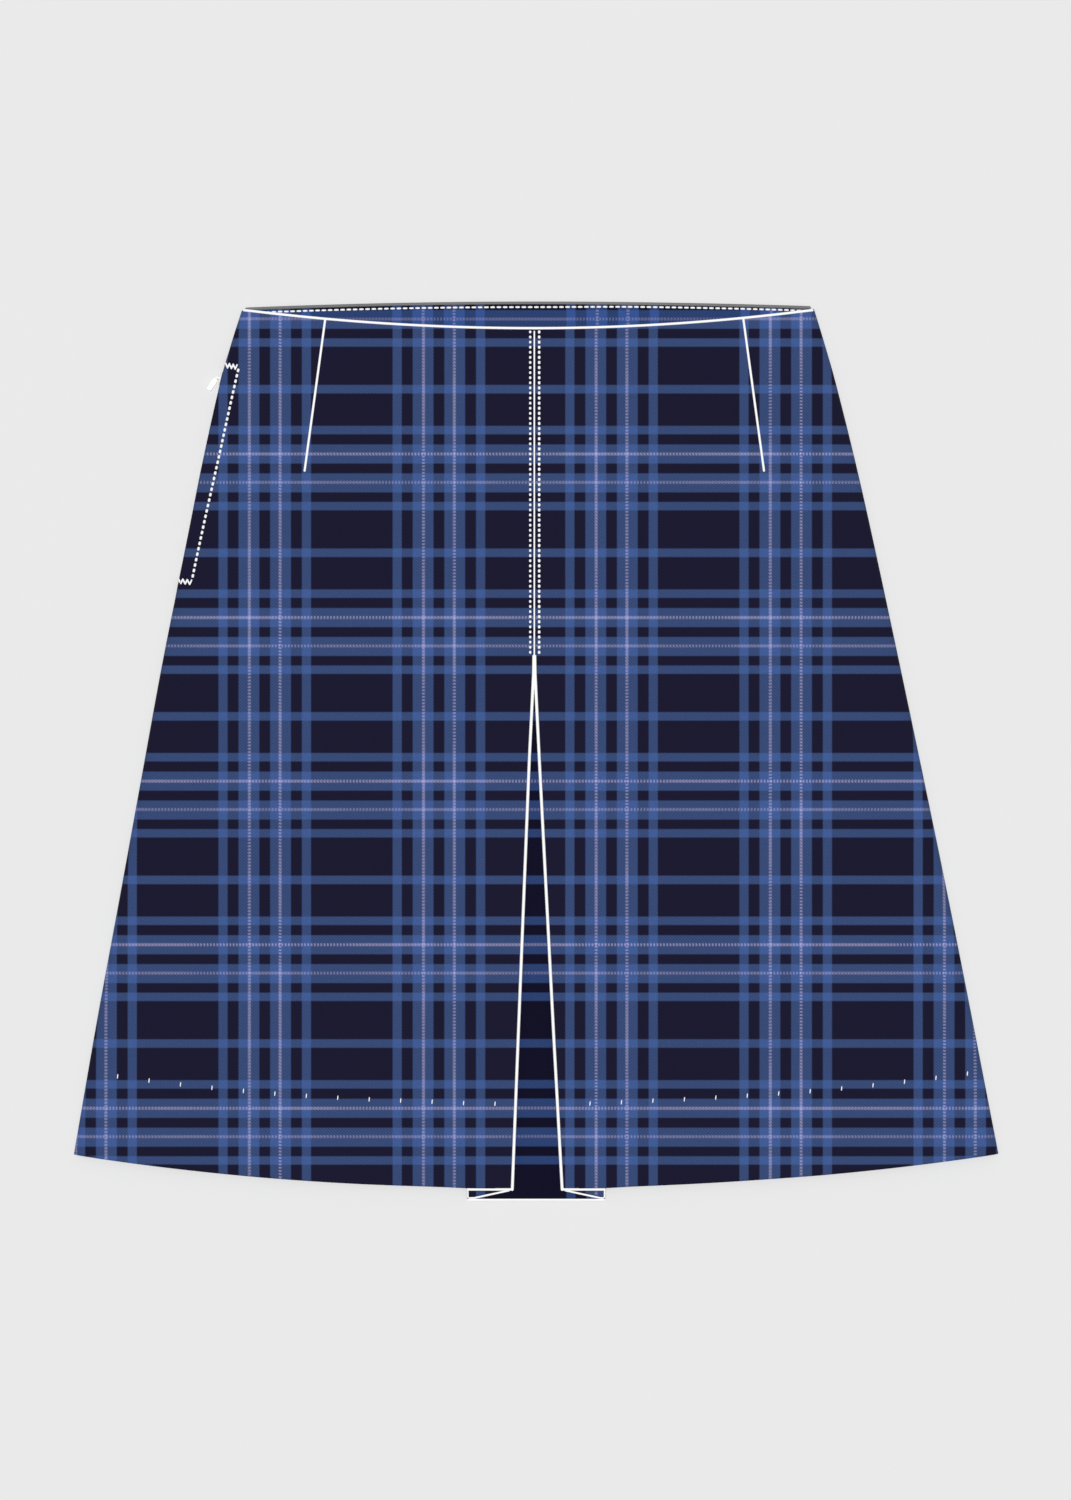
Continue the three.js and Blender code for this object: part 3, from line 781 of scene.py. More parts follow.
def frontSurface(side, column, share):
    # Across, down, height, the outward and upward parts of the normal, and the place on the cloth
    counts = frontCloth["columns"]
    edgeBelow = frontCloth["waistEdge"]
    lift = frontCloth["hemRoll"] + halfCloth

    def downAt(fraction):
        return mix(frontWaist(fraction) + edgeBelow, hemLine(sign(side) * fraction) - lift, share)

    sideDown = downAt(1)
    edge, rise, run = rollShape(side, sideDown)
    reach = halfWidth(side, sideDown) - halfCloth
    if column <= counts["roll"]:
        part = column / counts["roll"]
        turn = part * math.pi / 2
        across = reach - run * (1 - math.cos(turn))
        outward, upward = math.cos(turn) / run, math.sin(turn) / rise
        size = math.hypot(outward, upward)
        onCloth = reach - run + rollArc(run, rise, part)
        height = edge + rise * math.sin(turn)
        down = downAt(across / halfWidth(side, sideDown))
        return across, down, height, outward / size, upward / size, onCloth
    middleDown = downAt(0)
    foldRadius = (layers["front"] - layers["pleatReturn"]) / 2
    foldCentre = foldEdge(side, middleDown) + halfCloth + foldRadius
    column -= counts["roll"]
    if column <= counts["level"]:
        across = mix(reach - run, foldCentre, column / counts["level"])
        down = downAt(across / halfWidth(side, sideDown))
        return across, down, layers["front"] + relief(side, across, down), 0.0, 1.0, across
    column -= counts["level"]
    if column <= counts["fold"]:
        turn = math.pi * column / counts["fold"]
        across = foldCentre - foldRadius * math.sin(turn)
        height = layers["pleatReturn"] + foldRadius * (1 + math.cos(turn))
        return across, middleDown, height, -math.sin(turn), math.cos(turn), across
    column -= counts["fold"]
    across = mix(foldCentre, pleatEdge(side, middleDown), column / counts["return"])
    slope = min((across - foldCentre) / frontCloth["returnSlope"], 1.0)
    level = mix(hemMiddle, frontCloth["returnBottom"], slope)
    down = mix(skirtCut["waistDip"] + edgeBelow, level, share)
    return across, down, layers["pleatReturn"], 0.0, -1.0, across


def hemTurn(r, rows):
    # How far round its roll, and how far back up inside, row r of a turned-up hem lies
    turn = min(r / rows["roll"], 1.0) * math.pi
    return turn, max(r - rows["roll"], 0) / rows["up"] * skirtCut["hemDepth"]


def clothSpot(side, found):
    across, down, height, _, _, onCloth = found
    x = sign(side) * onCloth - originAcross + checkPattern["matching"][side]
    return place(sign(side) * across, down, height), (x * mm, (originDown - down) * mm)


def makeFront(side):
    bm = bmesh.new()
    counts = frontCloth["columns"]
    rows = frontCloth["rows"]

    def panel(k, r):
        return clothSpot(side, frontSurface(side, k, r / rows))

    addSheet(bm, sum(counts.values()), rows, panel)

    # The hem, turned up inside as far as the pleat's fold
    hemColumns = counts["roll"] + round(counts["level"] * frontCloth["hemReach"])
    hemRows, radius = frontCloth["hemRows"], frontCloth["hemRoll"]
    panelLength = hemMiddle - skirtCut["waistDip"]

    def turnUp(k, r):
        turn, back = hemTurn(r, hemRows)
        across, down, height, outward, upward, onCloth = frontSurface(side, k, 1 - back / panelLength)
        inside = radius * (1 - math.cos(turn))
        down += radius * math.sin(turn)
        found = (across - outward * inside, down, height - upward * inside, 0, 0, onCloth)
        where, (x, _) = clothSpot(side, found)
        fall = originDown - frontSurface(side, k, 1)[1] - radius * turn - back
        return where, (x, fall * mm)

    addSheet(bm, hemColumns, sum(hemRows.values()), turnUp)
    bmesh.ops.remove_doubles(bm, verts=bm.verts, dist=2e-6)
    name, node = sideName("frontCloth", side), f"front_panel_{side}"
    return finishCloth(name, bm, checkCloth, node)


frontRight = makeFront("right")
frontLeft = makeFront("left")
print("fronts made")


def onFront(side, across, down, above):
    # A place at a height above the cloth's upper face
    reach = halfWidth(side, down) - halfCloth
    edge, rise, run = rollShape(side, down)
    inward = reach - across
    if inward < run:
        share = max(1 - inward / run, 0.0)
        height = edge + rise * math.sqrt(max(1 - share * share, 0.0))
    else:
        height = layers["front"] + relief(side, across, down)
    return place(sign(side) * across, down, height + halfCloth + above)


# The back, in one piece, with its hem turned up on the inside

backCloth = {
    "columns": 96,
    "rows": 120,
    "hemRoll": 0.325,
    "hemRows": {"roll": 6, "up": 14},
    "tuck": 0.5,  # how far the top edge goes up under its piping
    "inset": 0.1,  # from the cut's side edge
    "meanLength": 508.0,  # of its flat cut, without the hem
}


def makeBack():
    bm = bmesh.new()
    columns, hemRows, radius = backCloth["columns"], backCloth["hemRows"], backCloth["hemRoll"]
    lift = radius + halfCloth

    def spotAt(part, share):
        fraction = part * 2 - 1
        topEdge = backWaist(fraction) + skirtCut["pipedEdge"] - backCloth["tuck"]
        down = mix(topEdge, hemLine(fraction) - lift, share)
        across = fraction * (halfWidth(sideOf(fraction), down) - backCloth["inset"])
        return across, down, layers["back"]

    addFlatSheet(bm, backCloth, spotAt)

    def turnUp(k, r):
        turn, back = hemTurn(r, hemRows)
        across, down, height = spotAt(k / columns, 1 - back / hemMiddle)
        where = place(across, down + radius * math.sin(turn), height + radius * (1 - math.cos(turn)))
        edge = originDown - spotAt(k / columns, 1)[1]
        return where, (where.x, (edge - radius * turn - back) * mm)

    addSheet(bm, columns, sum(hemRows.values()), turnUp)
    bmesh.ops.remove_doubles(bm, verts=bm.verts, dist=2e-6)
    return finishCloth("backCloth", bm, checkPaintedShade, "back_panel")


# Facing inside the back waist

backFacing = {"depth": 35.0, "inset": 15.0, "columns": 60, "rows": 12, "tuck": 0.5, "flatWidth": 328.0}


def makeFacing():
    bm = bmesh.new()

    def spotAt(part, share):
        fraction = part * 2 - 1
        topEdge = backWaist(fraction) + skirtCut["pipedEdge"] - backFacing["tuck"]
        down = topEdge + backFacing["depth"] * share
        across = fraction * (halfWidth(sideOf(fraction), down) - backFacing["inset"])
        return across, down, layers["facing"]

    addFlatSheet(bm, backFacing, spotAt)
    return finishCloth("facingCloth", bm, checkPaintedShade, "back_facing")


# The underlay behind the pleat, a little longer than the fronts

underlay = {"top": 40.0, "bottom": 520.3, "columns": 24, "rows": 120}
underlay.update({"sag": 0.25, "sagEasing": 60.0, "flatWidth": 79.0})


def makeUnderlay():
    bm = bmesh.new()

    def spotAt(part, share):
        down = mix(underlay["top"], underlay["bottom"], share)
        across = mix(-pleatEdge("right", down), pleatEdge("left", down), part)
        inPleat = smooth((down - pleat["top"]) / underlay["sagEasing"])
        sag = underlay["sag"] * math.sin(math.pi * part) * inPleat
        return across, down, layers["underlay"] - sag

    addFlatSheet(bm, underlay, spotAt)
    return finishCloth("pleatUnderlayCloth", bm, checkPaintedShade, "pleat_underlay")


back = makeBack()
facingCloth = makeFacing()
underlayCloth = makeUnderlay()
print("back, facing and underlay made")


# Pocket bag of two layers, hidden behind the wearer's right front

pocketBag = {
    "outer": 14.4,  # from the side seam
    "width": 104.0,
    "top": 37.0,
    "bottom": 214.0,
    "corner": 26.0,
    "heights": (1.75, 2.85),
    "thickness": 0.4,
    "columns": 26,
    "rows": 44,
}


def makeBag():
    bm = bmesh.new()
    corner = pocketBag["corner"]
    for height in pocketBag["heights"]:

        def spotAt(part, share):
            down = mix(pocketBag["top"], pocketBag["bottom"], share)
            below = max(down - (pocketBag["bottom"] - corner), 0.0)
            rounding = corner - math.sqrt(max(corner * corner - below * below, 0.0))
            inward = pocketBag["outer"] + mix(rounding, pocketBag["width"] - rounding, part)
            return -(halfWidth("right", down) - inward), down, height

        addFlatSheet(bm, pocketBag, spotAt)
    return finishCloth("pocketBagCloth", bm, pocketLining, "pocket_bag", pocketBag["thickness"])


# Zip tapes along the side seams, each of two layers

zipTapes = {
    "outer": 3.0,  # from the side seam
    "inner": 14.0,
    "heights": (1.9, 2.5),
    "thickness": 0.4,
    "columns": 6,
    "rows": 60,
    "pocket": {"side": "right", "top": 33.0, "bottom": 160.0},
    "opening": {"side": "left", "top": 3.0, "bottom": 182.0},
}


def makeTape(name, ends, node):
    bm = bmesh.new()
    side = ends["side"]
    for height in zipTapes["heights"]:

        def spotAt(part, share):
            down = mix(ends["top"], ends["bottom"], share)
            inward = mix(zipTapes["outer"], zipTapes["inner"], part)
            return sign(side) * (halfWidth(side, down) - inward), down, height

        addFlatSheet(bm, zipTapes, spotAt)
    return finishCloth(name, bm, tapeWeave, node, zipTapes["thickness"])


bagCloth = makeBag()
pocketTape = makeTape("pocketZipTape", zipTapes["pocket"], "pocket_zip_tape")
openingTape = makeTape("openingZipTape", zipTapes["opening"], "opening_zip_tape")
print("pocket bag and tapes made")


# Zip teeth, two rows that mesh

zipTeeth = {
    "pitch": 1.5,
    "fromEnd": 1.5,
    "inward": 1.3,  # from the side seam to their middle
    "size": (0.9, 2.1, 0.95),
    "heights": (1.75, 2.5),  # of the two rows, by turns
    "bevel": 0.22,
}


def seamLean(down, reach):
    # How far the pocket's side seam leans outwards, between two points that far above and below
    return math.atan2(halfWidth("right", down + reach) - halfWidth("right", down - reach), 2 * reach)


def makeTeeth():
    bm = bmesh.new()
    down = zipTapes["pocket"]["top"] + zipTeeth["fromEnd"]
    row = 0
    while down < zipTapes["pocket"]["bottom"] - zipTeeth["fromEnd"]:
        middle = place(-(halfWidth("right", down) - zipTeeth["inward"]), down, zipTeeth["heights"][row])
        turned = Matrix.Rotation(math.pi / 2 - seamLean(down, 0.5), 4, "Z")
        addBlock(bm, zipTeeth["size"], Matrix.Translation(middle) @ turned, zipTeeth["bevel"], 1)
        down += zipTeeth["pitch"] / 2
        row = 1 - row
    bmesh.ops.recalc_face_normals(bm, faces=bm.faces)
    return finishPiece("pocketZipTeeth", bm, zipPlastic, "skirt", ["pocket_zip_chain"])


# The slider at the top of the zip, and its pull on the slider's pin

zipSlider = {
    "down": 40.0,
    "length": 7.6,
    "plate": 0.8,  # its thickness, outwards from the seam
    "plateBevel": 0.28,
    "low": 0.7,
    "high": 3.5,
    "standOff": 0.15,
    "ribAt": 2.6,  # the two low ribs, above and below the middle
    "ribRise": 0.36,
    "ribSize": (0.3, 0.7),
    "ribShorter": 0.7,
    "ribBevel": 0.12,
    "pinReach": 2.6,
    "pin": 0.35,
    "ear": 0.6,
    "earWidth": 1.4,
    "earBevel": 0.2,
    "seamReach": 5.0,  # it follows the seam over this far above and below
}
zipPull = {
    "length": 8.9,
    "halfWidth": 1.5,
    "start": 0.98,  # of the tab, from the pin
    "neck": 0.6,
    "shoulder": 2.5,
    "corner": 0.8,
    "angle": 34.0,
    "eye": 1.3,
    "hole": 0.68,
    "thickness": 1.0,
    "bevel": 0.16,
    "sharpest": 1.2,  # edges with a wider angle than this are bevelled
}


def sliderMatrix():
    down = zipSlider["down"]
    turned = Matrix.Rotation(-seamLean(down, zipSlider["seamReach"]), 4, "Z")
    return Matrix.Translation(place(-halfWidth("right", down), down, 0)) @ turned


def makeSlider():
    bm = bmesh.new()
    seam = sliderMatrix()
    low, high = zipSlider["low"], zipSlider["high"]
    middle, tall = (low + high) / 2, high - low
    plateAt = -(zipSlider["standOff"] + zipSlider["plate"] / 2)

    def at(x, y, z):
        return seam @ Matrix.Translation(Vector((x, y, z)) * mm)

    size = (zipSlider["plate"], zipSlider["length"], tall)
    addBlock(bm, size, at(plateAt, 0, middle), zipSlider["plateBevel"], 3)
    size = (*zipSlider["ribSize"], tall - zipSlider["ribShorter"])
    for y in (-zipSlider["ribAt"], zipSlider["ribAt"]):
        addBlock(bm, size, at(plateAt - zipSlider["ribRise"], y, middle), zipSlider["ribBevel"], 2)
    earLength = zipSlider["pinReach"] + 2 * zipSlider["pin"] + plateAt
    size = (earLength, zipSlider["earWidth"], zipSlider["ear"])
    for height in (low + zipSlider["ear"] / 2, high - zipSlider["ear"] / 2):
        addBlock(bm, size, at(plateAt - earLength / 2, 0, height), zipSlider["earBevel"], 3)
    bmesh.ops.create_cone(
        bm,
        cap_ends=True,
        segments=16,
        radius1=zipSlider["pin"] * mm,
        radius2=zipSlider["pin"] * mm,
        depth=(tall - zipSlider["ear"]) * mm,
        matrix=at(-zipSlider["pinReach"], 0, middle),
    )
    bmesh.ops.recalc_face_normals(bm, faces=bm.faces)
    return finishPiece("pocketZipSlider", bm, sliderPlastic, "skirt", ["pocket_zip_slider"])


def makePull():
    bm = bmesh.new()
    height = (zipSlider["low"] + zipSlider["high"]) / 2
    pin = sliderMatrix() @ Matrix.Translation(Vector((-zipSlider["pinReach"], 0, height)) * mm)
    spot = Matrix.Translation(pin.translation) @ Matrix.Rotation(-math.radians(zipPull["angle"]), 4, "Z")

    # The eye: an oval section spun round the pin
    band = (zipPull["eye"] - zipPull["hole"]) / 2
    ring = bmesh.ops.create_circle(bm, segments=12, radius=1.0)["verts"]
    bmesh.ops.scale(bm, vec=Vector((band, zipPull["thickness"] / 2, 1)) * mm, verts=ring)
    for vert in ring:
        vert.co = Vector((vert.co.x + (zipPull["eye"] + zipPull["hole"]) / 2 * mm, 0, vert.co.y))
    bmesh.ops.spin(
        bm,
        geom=[*ring, *{edge for vert in ring for edge in vert.link_edges}],
        cent=(0, 0, 0),
        axis=(0, 0, 1),
        angle=2 * math.pi,
        steps=32,
        use_merge=True,
    )
    bmesh.ops.remove_doubles(bm, verts=bm.verts, dist=1e-8)

    # The tab: narrow at the eye, with a shoulder and round corners
    near, far, corner = -zipPull["start"], -zipPull["length"], zipPull["corner"]
    tab = bmesh.ops.create_grid(bm, x_segments=6, y_segments=28, size=0.5)["verts"]
    for vert in tab:
        y = mix(near, far, 0.5 - vert.co.y)
        widening = smooth((near - y) / (zipPull["shoulder"] + near))
        half = mix(zipPull["neck"], zipPull["halfWidth"], widening)
        beyond = max(far + corner - y, 0.0)
        half -= corner - math.sqrt(max(corner * corner - beyond * beyond, 0.0))
        vert.co = Vector((vert.co.x * 2 * half, y, 0)) * mm
    faces = list({face for vert in tab for face in vert.link_faces})
    thick = zipPull["thickness"]
    bmesh.ops.translate(bm, vec=Vector((0, 0, thick / 2)) * mm, verts=tab)
    bm.normal_update()
    bmesh.ops.solidify(bm, geom=faces, thickness=thick * mm)
    bmesh.ops.recalc_face_normals(bm, faces=bm.faces)
    sharp = [edge for edge in bm.edges if edge.is_manifold and edge.calc_face_angle(0) > zipPull["sharpest"]]
    rims = [edge for edge in sharp if edge.verts[0].co.y < near * 0.9 * mm]  # the tab's own, not the eye's
    roundEdges(bm, rims, zipPull["bevel"], 2)
    bmesh.ops.transform(bm, matrix=spot, verts=bm.verts)
    bmesh.ops.recalc_face_normals(bm, faces=bm.faces)
    return finishPiece("pocketZipPull", bm, zipPlastic, "pull_tab", ["pocket_zip_pull"])


makeTeeth()
makeSlider()
makePull()
print("zip made")


# Piping along the edges

piping = {
    # Half widths
    "edge": 0.9,
    "waist": 0.78,
    "centre": 0.5,
    "pleatTop": 0.78,
    "hem": 0.6,
    "frontHem": 0.76,
    "return": 0.58,
    "returnEnd": 0.45,
    "pressed": 0.6,  # the underlay's is this share of its width in height
    "waistStart": 3,  # the column of the side's roll where the front waist's begins
    "backReach": 0.985,
    "centreFrom": 1.9,  # below the front waist
    "centrePast": 1.5,  # past the pleat's top
    "pleatEasing": 18.0,
    "belowHem": 0.2,
    # How far each lies below the middle of the front cloth
    "sunk": {"centre": 0.05, "pleat": 0.1, "frontHem": 0.25},
    "frontHemStart": 0.4,  # towards the centre from the fold
    "step": 4.0,
}
returnHem = {
    "start": 1.1,  # from the fold
    "gap": 0.3,
    "inside": 0.2,  # from the return's edge
    "corner": 0.6,
    "top": 0.4,  # below the fronts' hem
    "thinOver": (4.0, 7.0),  # from its thin end to its full width
}


def pipeFrontWaist():
    # From one back corner over the rolled side seam, along both fronts and down again
    counts = frontCloth["columns"]
    lift = frontCloth["waistEdge"] * mm
    paths = {}
    for side in ("right", "left"):
        paths[side] = []
        for column in range(piping["waistStart"], counts["roll"] + counts["level"] + 1):
            found = frontSurface(side, column, 0)
            where, _ = clothSpot(side, found)
            paths[side].append(where + Vector((0, lift, 0)))
    path = paths["right"] + paths["left"][::-1]
    return pipe("frontWaistPiping", path, piping["waist"], "front_waist_piping", across=Vector((0, 1, 0)))


def pipeBackWaist():
    # Its grey cord is the white piping darkened: painted shade
    path = []
    for fraction in spread(-piping["backReach"], piping["backReach"], 90):
        down = backWaist(fraction)
        path.append(place(fraction * halfWidth(sideOf(fraction), down), down, piping["edge"]))
    return pipe("backWaistPiping", path, piping["edge"], "back_waist_piping", "grey")


def pipeCentreSeam():
    top = skirtCut["waistDip"] + piping["centreFrom"]
    bottom = pleat["top"] + piping["centrePast"]
    height = layers["front"] - piping["sunk"]["centre"]
    path = [place(0, down, height) for down in spread(top, bottom, 60)]
    return pipe("centreSeamPiping", path, piping["centre"], "centre_seam_piping")


def pipePleat(side):
    # Both start together in the seam, and part as the pleat opens
    height = layers["front"] - piping["sunk"]["pleat"]
    path, sizes = [], []
    for down in spread(pleat["top"], hemMiddle + piping["belowHem"], 80):
        widening = smooth((down - pleat["top"]) / piping["pleatEasing"])
        path.append(place(sign(side) * pleatOpening(side, down), down, height))
        sizes.append(mix(piping["pleatTop"], piping["edge"], widening))
    return pipe(sideName("pleatPiping", side), path, sizes, f"pleat_piping_{side}")


def smoothPath(corners, step):
    # Points about a step apart along straight stretches
    path = [corners[0]]
    for a, b in zip(corners, corners[1:]):
        count = max(round((b - a).length / (step * mm)), 1)
        path += [a.lerp(b, (k + 1) / count) for k in range(count)]
    return path


def pipeReturnHem(side):
    # Along the return's sloping hem, round its corner and up its edge, where it is thinner
    fold = foldEdge(side, hemMiddle) + returnHem["start"]
    edge = pleatEdge(side, hemMiddle) - returnHem["inside"]
    below = returnHem["gap"] + piping["return"]
    bottom = frontCloth["returnBottom"] + below
    corner = returnHem["corner"]
    corners = [
        (fold, hemMiddle + below),
        (fold + frontCloth["returnSlope"], bottom),
        (edge - corner, bottom),
        (edge, bottom - corner),
        (edge, hemMiddle + returnHem["top"]),
    ]
    height = layers["pleatReturn"]
    path = smoothPath([place(sign(side) * a, d, height) for a, d in corners], piping["step"])
    thin, full = returnHem["thinOver"]
    sizes = []
    for spot in path:
        fromEnd = (path[-1] - spot).length / mm
        sizes.append(mix(piping["returnEnd"], piping["return"], smooth((fromEnd - thin) / (full - thin))))
    return pipe(sideName("returnHemPiping", side), path, sizes, f"return_hem_piping_{side}")


def pipeUnderlayHem():
    down = underlay["bottom"] + piping["hem"]
    ends = [-pleatEdge("right", underlay["bottom"]), pleatEdge("left", underlay["bottom"])]
    path = smoothPath([place(across, down, layers["underlay"]) for across in ends], piping["step"])
    return pipe(
        "underlayHemPiping", path, piping["hem"], "underlay_hem_piping", pressed=piping["pressed"]
    )


def pipeFrontHem(side):
    # The fronts' own hem is piped only over the pleat's strip
    start = foldEdge(side, hemMiddle) - piping["frontHemStart"]
    end = pleatEdge(side, hemMiddle)
    down = hemMiddle + piping["belowHem"]
    height = layers["front"] - piping["sunk"]["frontHem"]
    path = [place(sign(side) * across, down, height) for across in spread(start, end, 10)]
    return pipe(sideName("frontHemPiping", side), path, piping["frontHem"], f"front_hem_piping_{side}")


dartCord = {"halfWidth": 0.68, "pressed": 0.5 / 0.68, "above": 0.15}


def pipeDart(side):
    acrosses = spread(dart["topAcross"], dart["pointAcross"], 30)
    downs = spread(dart["topDown"], dart["pointDown"], 30)
    path = [onFront(side, across, down, dartCord["above"]) for across, down in zip(acrosses, downs)]
    width, pressed = dartCord["halfWidth"], dartCord["pressed"]
    return pipe(sideName("dart", side), path, width, f"dart_{side}", pressed=pressed)


pipeFrontWaist()
pipeBackWaist()
pipeCentreSeam()
pipeUnderlayHem()
for side in ("right", "left"):
    pipePleat(side)
    pipeReturnHem(side)
    pipeFrontHem(side)
    pipeDart(side)
print("piping made")


# Sewing that shows

topStitch = {
    "seam": {"top": 13.0, "bottom": 200.6, "pitch": 2.975},
    "seamRight": {"aside": 2.4, "length": 1.65, "width": 1.45},
    "seamLeft": {"aside": 2.85, "length": 1.9, "width": 1.6},
    "pocket": {"top": 35.5, "bottom": 158.0, "pitch": 3.24, "length": 2.2, "width": 1.6},
    "pocketDowns": [35.5, 50, 73, 88, 108, 120, 143, 158],
    "pocketInward": [8.8, 9.01, 9.09, 9.02, 8.6, 8.26, 7.85, 7.8],
    "waist": {"below": 2.4, "leftRise": 0.5, "pitch": 3.66, "length": 2.75, "width": 1.2, "fromEnd": 1.5},
    "height": 0.7,
    "above": 0.1,  # from the cloth's face to a thread's middle
}


def finishThread(name, bm):
    return finishPiece(name, bm, whiteThread, "skirt", [])


def stitchSeam():
    row = topStitch["seam"]
    bm = bmesh.new()
    for side, thread in (("right", topStitch["seamRight"]), ("left", topStitch["seamLeft"])):
        down = row["top"]
        while down < row["bottom"]:
            middle = onFront(side, thread["aside"], down, topStitch["above"])
            addStitch(bm, middle, Vector((0, 1, 0)), thread["length"], thread["width"], topStitch["height"])
            down += row["pitch"]
    return finishThread("seamTopStitching", bm)


def stitchPocket():
    row = topStitch["pocket"]
    bm = bmesh.new()

    def spot(down):
        inward = curveThrough(topStitch["pocketDowns"], topStitch["pocketInward"], down)
        return onFront("right", halfWidth("right", down) - inward, down, topStitch["above"])

    down = row["top"]
    while down < row["bottom"]:
        ahead = spot(down + 1) - spot(down)
        addStitch(bm, spot(down), ahead, row["length"], row["width"], topStitch["height"])
        down += row["pitch"] * mm / ahead.length
    return finishThread("pocketTopStitching", bm)


def stitchBackWaist():
    row = topStitch["waist"]
    bm = bmesh.new()
    across = -piping["backReach"] * skirtCut["right"][0] + row["fromEnd"]
    while across < piping["backReach"] * skirtCut["left"][0] - row["fromEnd"]:
        side = sideOf(across)
        fraction = across / skirtCut[side][0]
        down = backWaist(fraction) + row["below"] - row["leftRise"] * smooth(fraction * 2.5)
        layer = "back" if abs(across) > halfWidth(side, down) - backFacing["inset"] else "facing"
        height = layers[layer] + halfCloth + topStitch["above"]
        ahead = Vector((1, -backWaist((across + 1) / skirtCut[side][0]) + backWaist(fraction), 0))
        addStitch(bm, place(across, down, height), ahead, row["length"], row["width"], topStitch["height"])
        across += row["pitch"]
    return finishThread("backWaistStitching", bm)


# Blind stitches that hold the hem

blindStitch = {
    "rows": {"right": (23.0, 244.2), "left": (32.6, 253.4)},
    "aboveHem": 49.8,
    "pitch": 18.4,
    "length": 2.7,
    "width": 0.7,
    "height": 0.5,
    "lean": 0.1,
    "above": 0.02,
}


def stitchHem():
    bm = bmesh.new()
    for side, (first, last) in blindStitch["rows"].items():
        across = first
        while across < last + 1:
            share = sign(side) * across / halfWidth(side, skirtCut["hemCorner"])
            down = hemLine(share) - blindStitch["aboveHem"]
            middle = onFront(side, across, down, blindStitch["above"])
            size = [blindStitch[k] for k in ("length", "width", "height")]
            addStitch(bm, middle, Vector((blindStitch["lean"], 1, 0)), *size)
            across += blindStitch["pitch"]
    return finishThread("blindHemStitches", bm)


# Bar tacks at the two ends of the pocket, each of threads laid close in zigzag

barTack = {"legs": 6, "length": 3.6, "width": 1.05, "height": 0.6, "lean": 24.0, "above": 0.15}
# Across and down, at the outer and the inner end of each
barTack["ends"] = [((180.6, 32.5), (173.9, 33.6)), ((208.2, 158.7), (200.4, 159.5))]


def stitchBarTacks():
    bm = bmesh.new()
    for outer, inner in barTack["ends"]:
        for k in range(barTack["legs"]):
            share = (k + 0.5) / barTack["legs"]
            across, down = mix(outer[0], inner[0], share), mix(outer[1], inner[1], share)
            lean = math.radians(barTack["lean"] * (1 if k % 2 else -1))
            along = Vector((math.sin(lean), math.cos(lean), 0))
            middle = onFront("right", across, down, barTack["above"])
            addStitch(bm, middle, along, barTack["length"], barTack["width"], barTack["height"])
    return finishThread("barTacks", bm)


stitchSeam()
stitchPocket()
stitchBackWaist()
hemStitches = stitchHem()
stitchBarTacks()
print("sewing made")


# The fronts' flat widths and areas, worked out but not used

cutEase = {"across": 3.0, "down": 6.0, "back": 2.0}  # for the rolled edges
hemTaper = 0.93  # the turned-up hem's mean width, as a share of the hem line's


def panelWidth(side, down):
    return halfWidth(side, down) + pleatEdge(side, down) - foldEdge(side, down)


def panelArea(side):
    # Of one front, its hem and its pleat's return, in square millimetres
    steps = 50
    total = 0.0
    for k in range(steps):
        width = panelWidth(side, mix(0, hemMiddle, (k + 0.5) / steps))
        total += width * (hemMiddle - skirtCut["waistDip"] / 2) / steps
    return total + halfWidth(side, skirtCut["hemCorner"]) * skirtCut["hemDepth"] * hemTaper


for piece, side in ((frontRight, "right"), (frontLeft, "left")):
    width = panelWidth(side, hemMiddle) + cutEase["across"]
    round(panelArea(side) * mm * mm, 4)

# Floor, light and camera

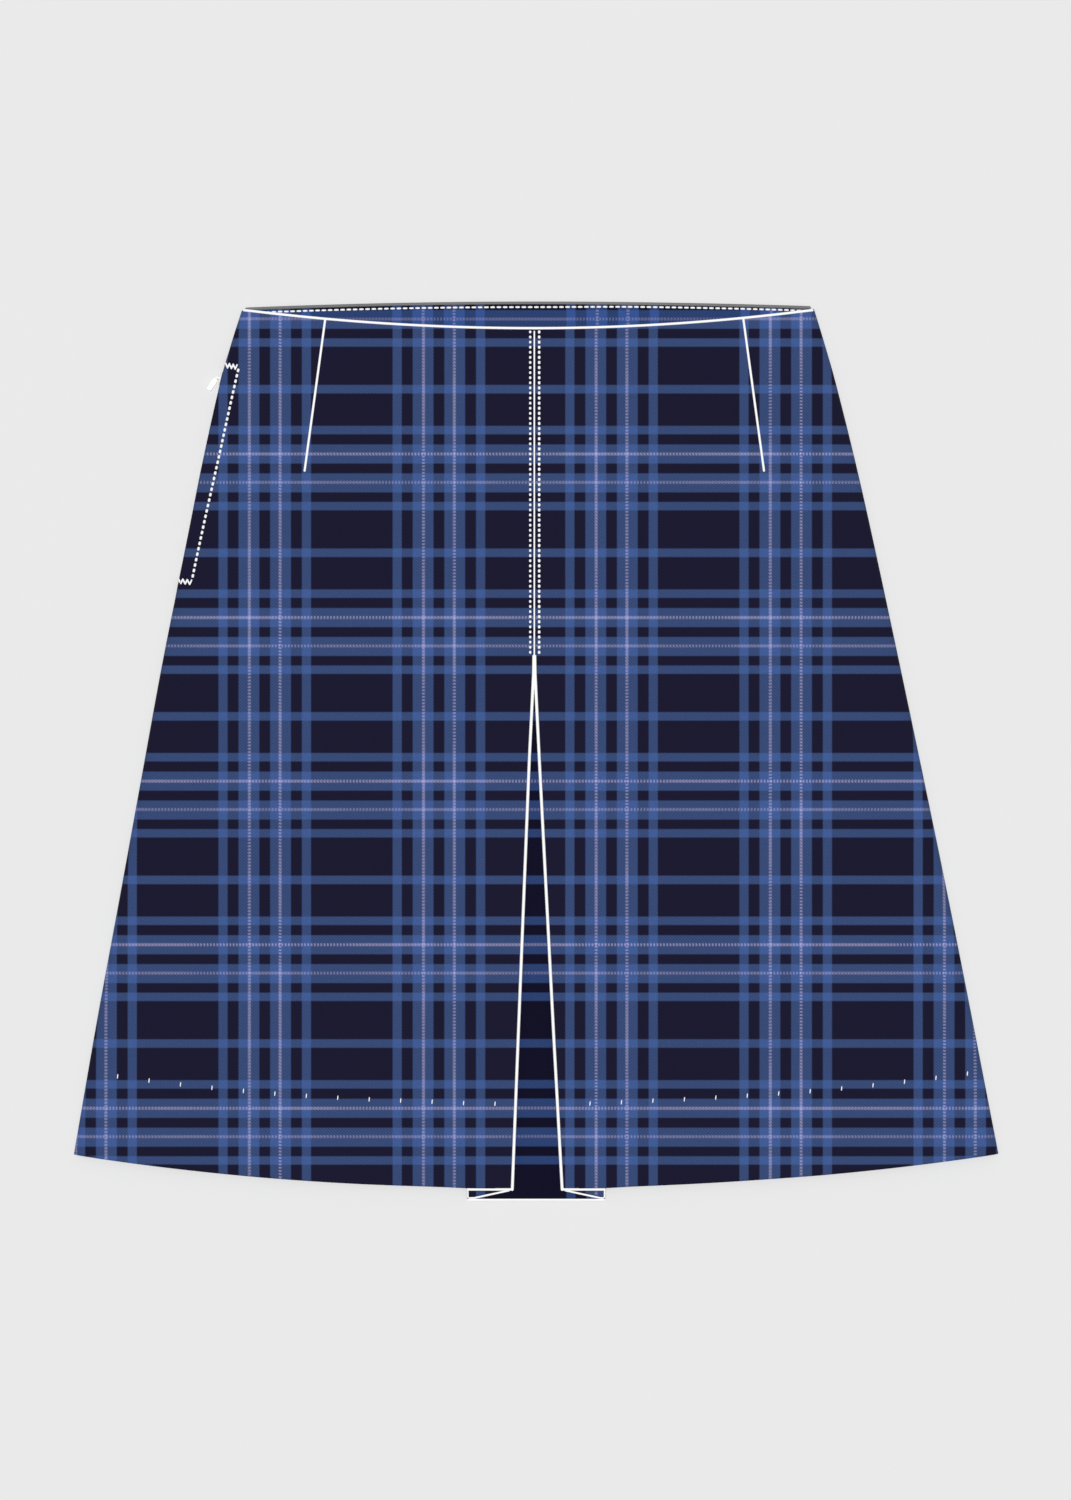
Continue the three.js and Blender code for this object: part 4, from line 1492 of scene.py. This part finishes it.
studio = {
    "floorSize": 14.0,
    "floorShade": 0.715,
    "skyStrength": 0.28,
    "sunStrength": 2.74,
    "sunAngle": 14.0,
    "sunTurn": 30.0,  # it shines straight down
    "cameraHeight": 5.0,
    "pictureHeight": 0.8785,  # metres of floor from the picture's top to its bottom
    "cameraX": -0.0003,
    "cameraY": 0.0007,
}


def makeFloor():
    material, shader = startMaterial("studioFloor")
    paper = unevenness(material, objectPlace(material), 3.0, 0.997, 1.003)
    shade = calc(material, "MULTIPLY", paper, studio["floorShade"])
    join(material, greyOf(material, shade), shader.inputs["Base Color"])
    setShader(shader, {"Roughness": 1.0, "Specular IOR Level": 0.0})
    bm = bmesh.new()
    bmesh.ops.create_grid(bm, x_segments=1, y_segments=1, size=studio["floorSize"] / 2)
    bmesh.ops.translate(bm, vec=(0, 0, -0.0001), verts=bm.verts)
    mesh = bpy.data.meshes.new("floor")
    bm.to_mesh(mesh)
    bm.free()
    mesh.materials.append(material)
    floor = bpy.data.objects.new("floor", mesh)
    bpy.context.scene.collection.objects.link(floor)


def makeLight():
    world = bpy.data.worlds.new("studioSky")
    world.use_nodes = True
    background = world.node_tree.nodes["Background"]
    background.inputs["Color"].default_value = (1, 1, 1, 1)
    background.inputs["Strength"].default_value = studio["skyStrength"]
    bpy.context.scene.world = world
    lamp = bpy.data.lights.new("softSun", "SUN")
    lamp.energy = studio["sunStrength"]
    lamp.angle = math.radians(studio["sunAngle"])
    sun = bpy.data.objects.new("softSun", lamp)
    sun.rotation_euler = (0, 0, math.radians(studio["sunTurn"]))
    bpy.context.scene.collection.objects.link(sun)


def makeCamera():
    # Straight above the skirt, as it is laid out
    lens = bpy.data.cameras.new("camera")
    lens.sensor_width = 36.0
    lens.lens = lens.sensor_width * studio["cameraHeight"] / studio["pictureHeight"]
    lens.clip_end = 100.0
    camera = bpy.data.objects.new("camera", lens)
    camera.location = (studio["cameraX"], studio["cameraY"], studio["cameraHeight"])
    bpy.context.scene.collection.objects.link(camera)
    bpy.context.scene.camera = camera


makeFloor()
makeLight()
makeCamera()
bpy.context.scene.view_settings.view_transform = "Standard"
print("studio made")
